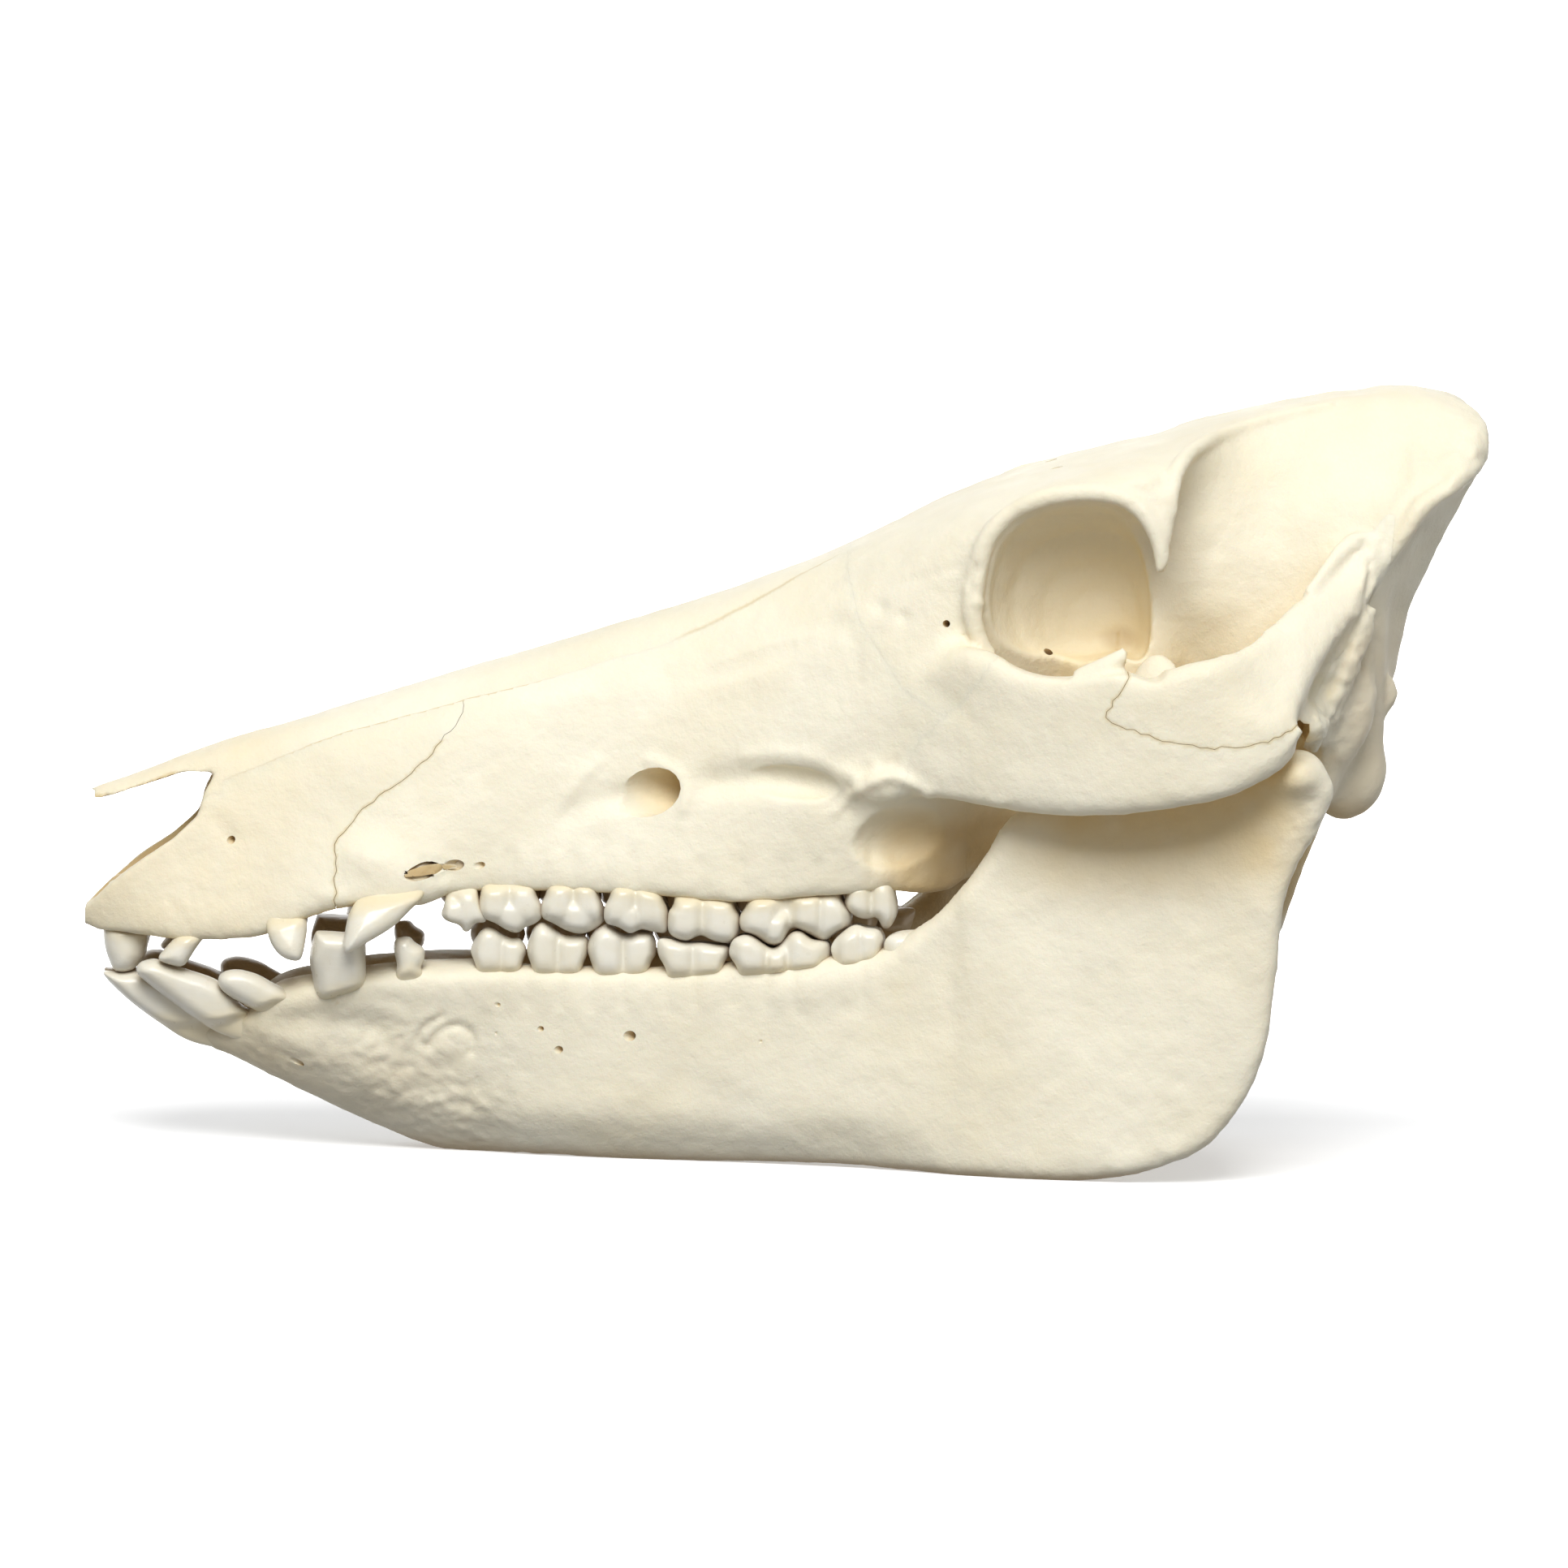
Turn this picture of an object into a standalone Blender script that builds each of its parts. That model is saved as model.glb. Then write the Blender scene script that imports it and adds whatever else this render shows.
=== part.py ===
"""A pig skull at life size, as a museum shows it: the cranium and the lower jaw with their teeth,
jaws nearly closed, resting on the chin and the two angles of the lower jaw.

The nose points to -X, the left side faces -Y and +Z is up. Sizes below are in millimetres and
become metres where a mesh is made. Half widths are measured from the plane of symmetry, y = 0.
"""

import math
import random

import bmesh
import bpy
import numpy as np
from mathutils import Matrix, Vector

MM = 0.001

# Fineness of the solids.
VOXEL = 1.5
FILLET_VOXEL = 2.2
CRANIUM_TRIANGLES = 5000
JAW_TRIANGLES = 1900
GAP = 0.3
SEED = 41

# The pose at rest: the head is lowered at the front until chin and jaw angles stand level.
REST_TILT = math.radians(1.2)
FLAT_DEPTH = 0.5

BONE_COLOUR = (0.86, 0.80, 0.64, 1.0)
BONE_ROUGHNESS = 0.6

# Cross sections of the face and the roof of the skull. Each row: x, height of the roof, half
# width of the roof, drop to its edge, then half width and height of the upper side wall and of
# the cheek, half width and height of the tooth-bearing edge, and height of the palate.
SECTIONS = (
    (-151, 83.5, 2.5, 1.0, 4.0, 78, 4.5, 66, 5.0, 55.5, 56.5),
    (-146, 85.2, 4.0, 1.2, 8.0, 78, 9.5, 66, 9.0, 54.5, 56.5),
    (-138, 88.0, 6.0, 1.8, 11.0, 79, 12.5, 67, 13.5, 54.0, 57.0),
    (-126, 92.3, 8.5, 2.5, 12.0, 82, 15.0, 68, 17.5, 53.5, 58.5),
    (-112, 96.6, 10.5, 3.5, 13.5, 86, 17.5, 71, 20.5, 54.5, 60.5),
    (-97, 101.3, 12.0, 4.5, 15.5, 91, 20.0, 76, 24.5, 60.5, 66.0),
    (-82, 105.6, 12.5, 5.0, 17.0, 95, 21.5, 80, 26.0, 62.5, 68.0),
    (-66, 110.4, 13.0, 5.5, 17.5, 99, 21.5, 82, 23.0, 64.3, 70.0),
    (-46, 116.3, 13.5, 6.0, 18.0, 104, 22.5, 84, 25.5, 64.7, 71.0),
    (-25, 122.8, 14.5, 6.5, 19.5, 109, 25.0, 87, 28.5, 63.5, 71.5),
    (-8, 128.2, 16.0, 6.5, 23.0, 114, 29.0, 90, 31.0, 62.7, 72.0),
    (8, 133.8, 20.0, 6.0, 29.0, 119, 35.0, 95, 33.5, 64.0, 73.0),
    (22, 140.3, 28.0, 6.0, 36.0, 124, 40.0, 101, 32.0, 65.0, 74.0),
    (34, 145.6, 37.0, 5.5, 41.0, 129, 39.0, 108, 24.0, 64.0, 74.0),
    (44, 149.4, 43.0, 4.5, 42.0, 138, 34.0, 112, 17.0, 72.0, 76.0),
    (60, 154.2, 47.0, 4.0, 38.0, 141, 27.0, 122, 15.0, 83.0, 82.0),
    (73, 157.6, 49.5, 6.0, 34.0, 142, 28.0, 122, 16.0, 85.0, 83.0),
    (80, 159.0, 45.5, 6.5, 32.0, 146, 29.0, 123, 17.0, 85.0, 83.0),
    (87, 161.2, 31.5, 1.8, 30.0, 148, 29.5, 124, 18.0, 85.0, 83.0),
    (95, 163.4, 20.0, 1.2, 26.5, 150, 30.0, 125, 20.0, 85.0, 83.0),
    (105, 165.8, 15.5, 1.0, 24.5, 151, 30.0, 126, 21.0, 85.0, 83.0),
    (117, 168.0, 14.0, 1.0, 24.0, 151, 30.0, 128, 22.0, 86.0, 84.0),
    (127, 169.0, 14.0, 1.2, 24.5, 151, 30.0, 130, 20.0, 92.0, 90.0),
)
SECTION_STEPS = 4

# Level sections of the back of the head. Each row: z, x of its front, x and half width of the
# rear edge, how far the middle lies in front of that edge, x and half width of the side margin
# that rises to the nuchal crest, and half width further forward.
OCCIPUT = (
    (82, 88, 117.0, 8.0, 1.0, 112.0, 14.0, 12.0),
    (90, 88, 124.0, 12.0, 1.5, 116.0, 24.0, 20.0),
    (98, 88, 127.5, 14.0, 2.5, 119.0, 27.0, 26.0),
    (107, 88, 129.5, 14.0, 3.0, 121.0, 29.0, 29.0),
    (115, 88, 131.0, 14.5, 3.5, 122.0, 31.0, 30.0),
    (123, 88, 132.7, 15.5, 4.5, 123.0, 33.0, 30.0),
    (130, 88, 136.0, 17.0, 5.5, 125.0, 34.5, 29.0),
    (138, 88, 139.7, 19.0, 6.5, 128.5, 36.0, 28.0),
    (146, 90, 143.6, 21.5, 6.5, 134.5, 36.0, 26.0),
    (152.5, 95, 146.8, 23.0, 6.0, 141.5, 32.5, 23.0),
    (158, 102, 149.4, 22.0, 4.5, 146.0, 27.0, 20.0),
    (163.5, 111, 149.0, 17.0, 3.0, 144.5, 21.0, 18.0),
    (167.5, 121, 144.0, 11.0, 1.5, 139.0, 15.5, 16.0),
    (169.8, 127, 134.5, 6.0, 0.5, 130.0, 11.0, 12.0),
)

# Side outline of the cheek arch, from its root on the face, back along the lower edge to the
# joint of the jaw, up the temporal bone to its peak and forward along the upper edge.
ARCH = (
    (12, 96), (21.8, 88.8), (29.4, 85.3), (37, 84.6), (45.8, 83.2), (53.2, 82.3), (64.9, 82.6),
    (79.7, 84.5), (92.4, 87.6), (101, 91.7), (106, 96.5), (106, 102.5), (110, 111.8),
    (115.5, 118.5), (120.8, 125.5), (123.8, 133), (124.8, 136.5), (122.3, 139.6), (118.5, 138.4),
    (110.6, 130.7), (101.6, 123.4), (92.7, 118), (81.5, 115.4), (74, 113.6), (70.3, 114.8),
    (68.6, 117.2), (63.7, 115.4), (55.4, 113.3), (47.1, 114.4), (42, 117), (34, 117), (20, 108),
)
# Outer half width of the arch along x, and its thickness there.
ARCH_REACH = (
    (12, 35, 10), (25, 42, 12), (37, 50.5, 12), (46, 57, 10), (58, 63.5, 9), (70, 68.5, 8),
    (80, 70.8, 7.5), (92, 71.5, 7), (100, 70.5, 7), (106, 68.5, 7), (125, 60, 7),
)
ARCH_LEAN_FROM = 103.0
ARCH_LEAN = 0.84

# Side outline of the lower jaw: along the lower border from the chin, round the angle, up the
# back edge to the condyle, over the notch and the coronoid process, and forward along the teeth.
JAW = (
    (-124.8, 30.3), (-117, 27), (-103.2, 19.8), (-89.4, 13.4), (-78, 8.4), (-68.8, 6.7),
    (-55, 6.6), (-41.2, 6.3), (-20.6, 5.9), (0, 5.8), (13.6, 5.6), (27.1, 5), (40.5, 4.4),
    (54.1, 4.2), (67.7, 4.9), (81.3, 8.5), (88.1, 12.6), (94.9, 20.3), (99.5, 29.9),
    (101.7, 40.5), (103, 56.2), (104.4, 66.4), (108.5, 75.3), (111.8, 81.4), (114, 86),
    (113.6, 90), (110.5, 94), (104, 96.5), (97, 94), (90, 91), (86, 98), (84.5, 108),
    (81.5, 113.8), (77.2, 116), (73, 112), (67, 102), (56, 90), (45.7, 80), (42.3, 73.7),
    (33.9, 62.5), (28.8, 57.8), (20, 52.6), (8.8, 50.4), (-12.1, 49.2), (-27.5, 48),
    (-46.4, 48), (-67, 48.6), (-77.3, 48.2), (-89.3, 47.2), (-100.5, 45.2), (-108, 43.6),
    (-115, 37.8), (-120.9, 34.4), (-125, 34.5),
)
# The jaw along x: outer half width and thickness at the tooth row or ramus, then at the border.
JAW_REACH = (
    (-126, 11, 12, 9, 10), (-110, 18.5, 19.5, 10.5, 11.5), (-95, 21.8, 22.8, 11.5, 12.5),
    (-80, 22, 23, 12.8, 13.8), (-66, 22.5, 23.5, 15.6, 16.6), (-55, 23.5, 13, 20.8, 13),
    (-40, 25.5, 11.5, 25, 12), (-20, 28, 11.5, 28, 12), (0, 31, 12, 32, 12),
    (20, 35.5, 12, 37.5, 11), (35, 40, 10, 43, 10), (50, 44, 8, 48, 9), (65, 47, 7, 51, 8),
    (80, 50.5, 6.5, 53, 7), (95, 55, 7, 54, 7), (108, 60, 8, 55, 7), (116, 62, 8, 56, 7),
)
JAW_LOW = 8.0
JAW_HIGH_BODY = 46.0
JAW_HIGH_RAMUS = 88.0
JAW_UNDER = 4.5

# Openings, seen from the side: the nose notch between the nasal tip and the incisive bone, and
# the rim of the eye socket.
NOSE_NOTCH = (
    (-175, 70), (-156, 80.5), (-150, 81.2), (-141, 84), (-134, 86.2), (-128, 88.2), (-121, 88.6),
    (-123.6, 84), (-124.9, 79.4), (-130.1, 74.6), (-138.4, 69), (-144, 64.3), (-149.1, 59),
    (-153, 52), (-175, 50),
)
ORBIT_RIM = (
    (58.3, 147.2), (64.5, 147.5), (68.7, 146.5), (72.3, 144), (74.6, 140.4), (75.8, 136),
    (76.8, 130), (77.2, 121), (75, 113.5), (68, 114.5), (58, 112.5), (49, 113.5), (43.8, 116.6),
    (41.2, 122), (40.5, 128), (41.8, 134.5), (43.7, 139.2), (47.3, 142.9), (52.4, 145.8),
)

# The eye socket's rim as a rod, (x, half width, z), from the tear bone over the top to the tip
# of the process behind the eye, and its radius at each point.
EYE_RIM = (
    (42.5, 41, 114.5), (39.6, 41.5, 119.5), (38.4, 42, 126), (39.8, 42.5, 134.5),
    (41.8, 43, 140.2), (45.8, 43.6, 144.8), (51.6, 45, 148), (58, 46, 149.5), (64.6, 46.8, 149.8),
    (69.8, 47.6, 148.7), (74.2, 48.3, 145.6), (76.9, 48.6, 141.2), (78, 48.6, 136.8),
    (77.7, 48.4, 133.2),
)
EYE_RIM_RADII = (1.9, 2.1, 2.3, 2.3, 2.2, 2.1, 2.1, 2.1, 2.1, 2.1, 2.2, 2.2, 1.9, 1.2)

# The line where the forehead ends and the temple begins, and the radius of its ridge.
TEMPLE_LINE = (
    (80, 47.4, 145), (80.4, 45.8, 150.4), (82.2, 41, 155), (86.6, 31.5, 158.6), (94.5, 20.5, 161.4),
    (104.8, 15.8, 164), (116, 14, 166.4),
)
TEMPLE_LINE_RADII = (1.4, 1.7, 1.7, 1.6, 1.5, 1.4, 1.2)

# Side outline of the process behind the eye, a flat triangle of bone with its tip downwards.
EYE_PROCESS = (
    (66, 151), (71.5, 147.6), (74.9, 144), (76.4, 140.2), (77.1, 136.2), (76.6, 132.4),
    (78.4, 133.4), (79.3, 137), (80.7, 142), (80.8, 147), (79.6, 151), (74, 152.2), (68, 151.8),
)

# Back wall of the temple. Each row: z, x at the braincase, then x and half width at the arch.
TEMPLE_WALL = (
    (96, 102, 100, 58), (103, 106, 103.5, 60), (111, 109, 107.5, 56), (118, 112.5, 112.5, 51),
    (125, 116.5, 117.5, 45.5), (132, 120, 121.5, 40), (137, 122.5, 123.5, 36.5),
)

# Hollows: below the cheek's root, the facial fossa, the infraorbital opening, the trough
# beside the nasal bones, and the pit of the tear bone.
DENTS = (
    ((28.5, 44.5, 75.5), (19, 17, 9.8), (0, -8, 0)),
    ((-3, 37, 88), (14, 7.5, 4.4), (0, 6, 14)),
    ((-33, 29, 84.6), (8.5, 5.5, 5.6), (0, 0, 20)),
    ((-8, 30.5, 115), (25, 8, 6.5), (0, -20, 17)),
    ((33, 46, 121), (3.6, 3.6, 3.0), (0, 0, 0)),
)

# Cheek teeth. Each row: x of the middle, half width of the row there, length and width.
UPPER_CHEEK = (
    (-68.2, 21.0, 8.0, 4.5), (-58.0, 21.5, 12.8, 6.0), (-44.8, 22.0, 13.6, 8.5),
    (-31.6, 22.5, 13.0, 11.5), (-17.4, 23.5, 15.4, 12.5), (1.0, 24.5, 21.6, 14.5),
    (17.5, 25.5, 11.4, 13.0),
)
LOWER_CHEEK = (
    (-61.2, 20.0, 11.6, 5.5), (-48.4, 21.0, 13.2, 6.5), (-35.0, 22.0, 14.0, 8.0),
    (-19.8, 23.5, 15.0, 10.5), (-1.4, 25.5, 21.2, 12.5), (14.6, 27.5, 11.4, 11.0),
    (24.5, 29.5, 8.6, 9.0),
)
UPPER_GUM = ((-75, 64.5), (-50, 65.0), (-30, 64.0), (-10, 63.5), (10, 65.0), (25, 67.0))
LOWER_GUM = ((-70, 46.8), (-40, 46.0), (-10, 47.0), (10, 48.5), (20, 50.5), (30, 53.5))
# Where upper and lower cusps meet, seen from the side, and the room between them.
BITE = (
    (-74, 54.8), (-69, 55.4), (-63.5, 57.4), (-58.3, 55.2), (-52, 57.6), (-45.2, 55.1),
    (-38.5, 57.4), (-32, 55.6), (-26, 56.8), (-21.5, 54.2), (-17.6, 55.4), (-13.5, 53.9),
    (-9, 56), (-4.8, 53.6), (0.5, 55.4), (6, 53.6), (11.5, 57.4), (17, 57.4), (30, 58),
)
BITE_ROOM = 0.45
TOOTH_ROOT = 5.0

# Single teeth as curved, tapered rods: points (x, half width, z) and the radius at each.
UPPER_RODS = {
    "upper_i1": (((-138, 5.2, 62), (-141, 5.8, 55), (-140.8, 5.2, 50), (-139.4, 4.8, 47.2)),
                 (4.2, 4.3, 3.7, 1.6)),
    "upper_i2": (((-122, 14, 60), (-125.5, 14.6, 55), (-128.4, 15, 51.4), (-130, 15.2, 49.2)),
                 (2.9, 2.8, 2.4, 1.3)),
    "upper_i3": (((-104, 18.6, 64), (-106, 19.4, 57.5), (-106.8, 20, 53), (-106, 20.4, 49.8)),
                 (3.8, 4.3, 4.2, 2.2)),
    "upper_c": (((-79, 22, 68), (-84.5, 25.5, 61.5), (-90, 28, 55.8), (-94.6, 29.5, 51)),
                (4.8, 4.9, 3.7, 1.2)),
}
LOWER_RODS = {
    "lower_i1": (((-119, 4.6, 30), (-129, 4.4, 33.5), (-138, 3.9, 38.5), (-145.4, 3.4, 44.2)),
                 (3.5, 3.5, 3.1, 1.3)),
    "lower_i2": (((-111, 12, 36), (-119, 12.4, 39.5), (-126.5, 12.2, 43.6), (-132.5, 11.8, 46.6)),
                 (4.6, 4.6, 3.9, 1.6)),
    "lower_i3": (((-103, 16.5, 40.5), (-109, 16.6, 42.8), (-115, 15.8, 44.8), (-119.5, 15, 45.8)),
                 (2.4, 3.4, 3.6, 2.0)),
    "lower_c": (((-91, 17.5, 34), (-93.5, 18.6, 42), (-95.3, 19.4, 49), (-96.2, 20, 55.8)),
                (6.2, 6.0, 5.6, 4.8)),
    "lower_p1": (((-79.6, 19.5, 42), (-80.0, 19.7, 47), (-80.3, 19.8, 51), (-80.4, 19.8, 54.2)),
                 (2.9, 2.8, 3.3, 2.0)),
}


# Making and joining meshes

def reset_scene():
    for obj in list(bpy.data.objects):
        bpy.data.objects.remove(obj, do_unlink=True)


def new_collection(name):
    collection = bpy.data.collections.new(name)
    bpy.context.scene.collection.children.link(collection)
    return collection


def add_object(name, mesh, collection):
    obj = bpy.data.objects.new(name, mesh)
    collection.objects.link(obj)
    return obj


def mesh_from(name, points, faces, side=1):
    """A closed mesh from points in millimetres. On the left side (side -1) y is mirrored."""
    flipped = [face[::-1] for face in faces] if side < 0 else faces
    mesh = bpy.data.meshes.new(name)
    mesh.from_pydata([(x * MM, side * y * MM, z * MM) for x, y, z in points], [], flipped)
    mesh.validate()
    return mesh


def coordinates(mesh):
    points = np.empty(len(mesh.vertices) * 3)
    mesh.vertices.foreach_get("co", points)
    return points.reshape(-1, 3)


def set_coordinates(mesh, points):
    mesh.vertices.foreach_set("co", points.ravel())
    mesh.update()


def bake(obj):
    """Applies the object's modifiers, or turns a curve into a mesh with its caps welded on."""
    graph = bpy.context.evaluated_depsgraph_get()
    mesh = bpy.data.meshes.new_from_object(obj.evaluated_get(graph))
    if obj.type == "MESH":
        obj.modifiers.clear()
        obj.data = mesh
        return obj
    work = bmesh.new()
    work.from_mesh(mesh)
    bmesh.ops.remove_doubles(work, verts=work.verts, dist=1e-6)
    bmesh.ops.recalc_face_normals(work, faces=work.faces)
    work.to_mesh(mesh)
    work.free()
    made = add_object(obj.name + "_mesh", mesh, obj.users_collection[0])
    made.matrix_world = obj.matrix_world
    bpy.data.objects.remove(obj)
    return made


def merged(name, pieces, collection):
    """One object that holds the faces of all pieces, which are removed."""
    work = bmesh.new()
    for piece in pieces:
        work.from_mesh(piece.data)
        bpy.data.objects.remove(piece)
    mesh = bpy.data.meshes.new(name)
    work.to_mesh(mesh)
    work.free()
    return add_object(name, mesh, collection)


def fuse(obj, voxel, rounds):
    """Overlapping closed pieces become one skin, whose inner corners are rounded by smoothing."""
    remesh = obj.modifiers.new("fuse", "REMESH")
    remesh.mode = "VOXEL"
    remesh.voxel_size = voxel * MM
    smooth = obj.modifiers.new("round", "SMOOTH")
    smooth.factor = 0.5
    smooth.iterations = rounds
    return bake(obj)


def boolean(obj, other, operation):
    step = obj.modifiers.new(operation.lower(), "BOOLEAN")
    step.operation = operation
    step.solver = "MANIFOLD"
    if isinstance(other, bpy.types.Collection):
        step.operand_type = "COLLECTION"
        step.collection = other
    else:
        step.object = other
    return bake(obj)


def thin_out(obj, triangles):
    work = bmesh.new()
    work.from_mesh(obj.data)
    bmesh.ops.triangulate(work, faces=work.faces)
    work.to_mesh(obj.data)
    work.free()
    decimate = obj.modifiers.new("thin_out", "DECIMATE")
    decimate.ratio = triangles / len(obj.data.polygons)
    return bake(obj)


def keep_largest(obj):
    """Removes every loose scrap and sealed hollow, so that one closed surface is left."""
    work = bmesh.new()
    work.from_mesh(obj.data)
    bmesh.ops.triangulate(work, faces=work.faces)
    unseen = set(work.verts)
    surfaces = []
    while unseen:
        surface = {unseen.pop()}
        edge = list(surface)
        while edge:
            for link in edge.pop().link_edges:
                for vertex in link.verts:
                    if vertex in unseen:
                        unseen.discard(vertex)
                        surface.add(vertex)
                        edge.append(vertex)
        surfaces.append(surface)
    largest = max(surfaces, key=len)
    scraps = [vertex for vertex in work.verts if vertex not in largest]
    bmesh.ops.delete(work, geom=scraps, context="VERTS")
    work.to_mesh(obj.data)
    work.free()
    return obj


# Curves through named points

def smooth_path(points, steps, closed=False):
    """Points on a Catmull-Rom curve through the given ones, with this many steps to each span."""
    given = np.array(points, float)
    count = len(given)
    spans = count if closed else count - 1
    found = []
    for span in range(spans):
        if closed:
            a, b, c, d = (given[(span + k) % count] for k in (-1, 0, 1, 2))
        else:
            b, c = given[span], given[span + 1]
            a = given[span - 1] if span else 2 * b - c
            d = given[span + 2] if span + 2 < count else 2 * c - b
        for step in range(steps):
            t = step / steps
            found.append(
                0.5 * (2 * b + (c - a) * t + (2 * a - 5 * b + 4 * c - d) * t * t
                       + (3 * b - a - 3 * c + d) * t ** 3)
            )
    if not closed:
        found.append(given[-1])
    return np.array(found)


def table(rows, column, x):
    """The value of one column of a table, read between its rows along the first column."""
    rows = np.array(rows, float)
    return np.interp(x, rows[:, 0], rows[:, column])


def soft_step(value, start, end):
    t = np.clip((value - start) / (end - start), 0, 1)
    return t * t * (3 - 2 * t)


# Basic forms

def loft(name, rings, collection, side=1):
    """A closed skin over rings of equal count, ordered along their path."""
    count = len(rings[0])
    points = [tuple(point) for ring in rings for point in ring]
    faces = []
    for row in range(len(rings) - 1):
        for k in range(count):
            a = row * count + k
            b = row * count + (k + 1) % count
            faces.append((a, b, b + count, a + count))
    faces.append(tuple(range(count))[::-1])
    last = (len(rings) - 1) * count
    faces.append(tuple(range(last, last + count)))
    obj = add_object(name, mesh_from(name, points, faces, side), collection)
    work = bmesh.new()
    work.from_mesh(obj.data)
    bmesh.ops.recalc_face_normals(work, faces=work.faces)
    work.to_mesh(obj.data)
    work.free()
    return obj


def ellipsoid(name, centre, radii, collection, side=1, turn=(0, 0, 0)):
    """A ball stretched to three radii and turned by angles in degrees about X, Y and Z."""
    mesh = bpy.data.meshes.new(name)
    work = bmesh.new()
    bmesh.ops.create_icosphere(work, subdivisions=4, radius=1)
    angles = [math.radians(angle) for angle in turn]
    turned = Matrix.Rotation(angles[2] * side, 4, "Z") @ Matrix.Rotation(angles[1], 4, "Y")
    turned = turned @ Matrix.Rotation(angles[0] * side, 4, "X")
    size = Matrix.Diagonal((radii[0] * MM, radii[1] * MM, radii[2] * MM, 1))
    place = Matrix.Translation((centre[0] * MM, side * centre[1] * MM, centre[2] * MM))
    bmesh.ops.transform(work, matrix=place @ turned @ size, verts=work.verts)
    work.to_mesh(mesh)
    work.free()
    return add_object(name, mesh, collection)


def rod(name, points, radii, collection, side=1, sides=3, steps=4):
    """A round rod through the points, tapered from radius to radius."""
    path = smooth_path(points, steps)
    sizes = smooth_path([(radius,) for radius in radii], steps)
    curve = bpy.data.curves.new(name, "CURVE")
    curve.dimensions = "3D"
    curve.bevel_depth = MM
    curve.bevel_resolution = sides
    curve.use_fill_caps = True
    spline = curve.splines.new("POLY")
    spline.points.add(len(path) - 1)
    for point, (x, y, z), (radius,) in zip(spline.points, path, sizes):
        point.co = (x * MM, side * y * MM, z * MM, 1)
        point.radius = radius
    return bake(add_object(name, curve, collection))


def slab(name, outline, low, high, collection, smooth_steps=1):
    """A side outline made solid from y = low to y = high."""
    points = smooth_path(outline, smooth_steps, closed=True)
    curve = bpy.data.curves.new(name, "CURVE")
    curve.dimensions = "2D"
    curve.fill_mode = "BOTH"
    curve.extrude = (high - low) / 2 * MM
    spline = curve.splines.new("POLY")
    spline.use_cyclic_u = True
    spline.points.add(len(points) - 1)
    for point, (x, z) in zip(spline.points, points):
        point.co = (x * MM, z * MM, 0, 1)
    obj = add_object(name, curve, collection)
    obj.rotation_euler = (math.pi / 2, 0, 0)
    obj.location = (0, (low + high) / 2 * MM, 0)
    bpy.context.view_layer.update()
    made = bake(obj)
    made.data.transform(made.matrix_world)
    made.matrix_world = Matrix.Identity(4)
    return made


def edge_distance(points, outline):
    """The distance of each (x, z) point to a closed outline."""
    least = np.full(len(points), 1e9)
    ends = np.roll(outline, -1, axis=0)
    for a, b in zip(outline, ends):
        along = b - a
        t = np.clip(((points - a) @ along) / max(along @ along, 1e-9), 0, 1)
        gone = points - a - t[:, None] * along
        least = np.minimum(least, np.hypot(gone[:, 0], gone[:, 1]))
    return least


def bent_plate(name, outline, reach, thickness, rim, collection, side=1):
    """A plate of bone with this side outline. reach gives the outer half width at (x, z),
    thickness its depth there, and rim the width over which the edge is rounded off."""
    half = 6.0
    obj = slab(name, outline, -half, half, collection, smooth_steps=4)
    fuse(obj, 2.0, 0)
    points = coordinates(obj.data) / MM
    flat = points[:, [0, 2]]
    inside = edge_distance(flat, smooth_path(outline, 4, closed=True))
    round_off = 1 - np.clip(inside / rim(flat[:, 0], flat[:, 1]), 0, 1)
    full = np.maximum(np.sqrt(np.clip(1 - round_off ** 2, 0, 1)), 0.35)
    depth = thickness(flat[:, 0], flat[:, 1])
    outer = reach(flat[:, 0], flat[:, 1])
    middle = outer - depth / 2
    spread = np.clip(points[:, 1] / half, -1, 1)
    points[:, 1] = -(middle - spread * depth / 2 * full)
    if side > 0:
        points[:, 1] *= -1
    set_coordinates(obj.data, points * MM)
    if side > 0:
        obj.data.flip_normals()
    return obj


# The cranium

def half_section(row):
    x, top, roof, drop, side_w, side_z, mid_w, mid_z, low_w, low_z, vault = row
    return (
        (0, top),
        (0.62 * roof, top - 0.22 * drop),
        (roof, top - drop),
        (side_w, side_z),
        (mid_w, mid_z),
        (low_w, low_z + 4),
        (low_w - 1.0, low_z - 0.8),
        (max(low_w - 12, 0.45 * low_w), min(low_z + 1.5, vault)),
        (0, vault),
    )


def ring_of(half, x):
    """A closed ring at x from a half section that runs from the top to the bottom midline."""
    path = smooth_path(half, 3)
    left = [(x, -y, z) for y, z in path[::-1][1:-1]]
    return [(x, y, z) for y, z in path] + left


def face_and_roof(collection):
    rows = smooth_path(SECTIONS, SECTION_STEPS)
    return loft("face", [ring_of(half_section(row), row[0]) for row in rows], collection)


def occiput(collection):
    rings = []
    for row in smooth_path(OCCIPUT, SECTION_STEPS):
        z, front, edge_x, edge_w, dip, margin_x, margin_w, front_w = row
        half = (
            (front, front_w * 0.8),
            (front + 0.25 * (margin_x - front), front_w),
            (front + 0.7 * (margin_x - front), 0.6 * front_w + 0.4 * margin_w),
            (margin_x, margin_w),
            ((margin_x + edge_x) / 2 - 0.5, (margin_w + edge_w) / 2),
            (edge_x, edge_w),
            (edge_x - 0.45 * dip, edge_w * 0.62),
            (edge_x - dip, edge_w * 0.2),
        )
        right = [(x, y, z) for x, y in half]
        rings.append(right + [(x, -y, z) for x, y, z in right[::-1]])
    return loft("occiput", rings, collection)


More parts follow.
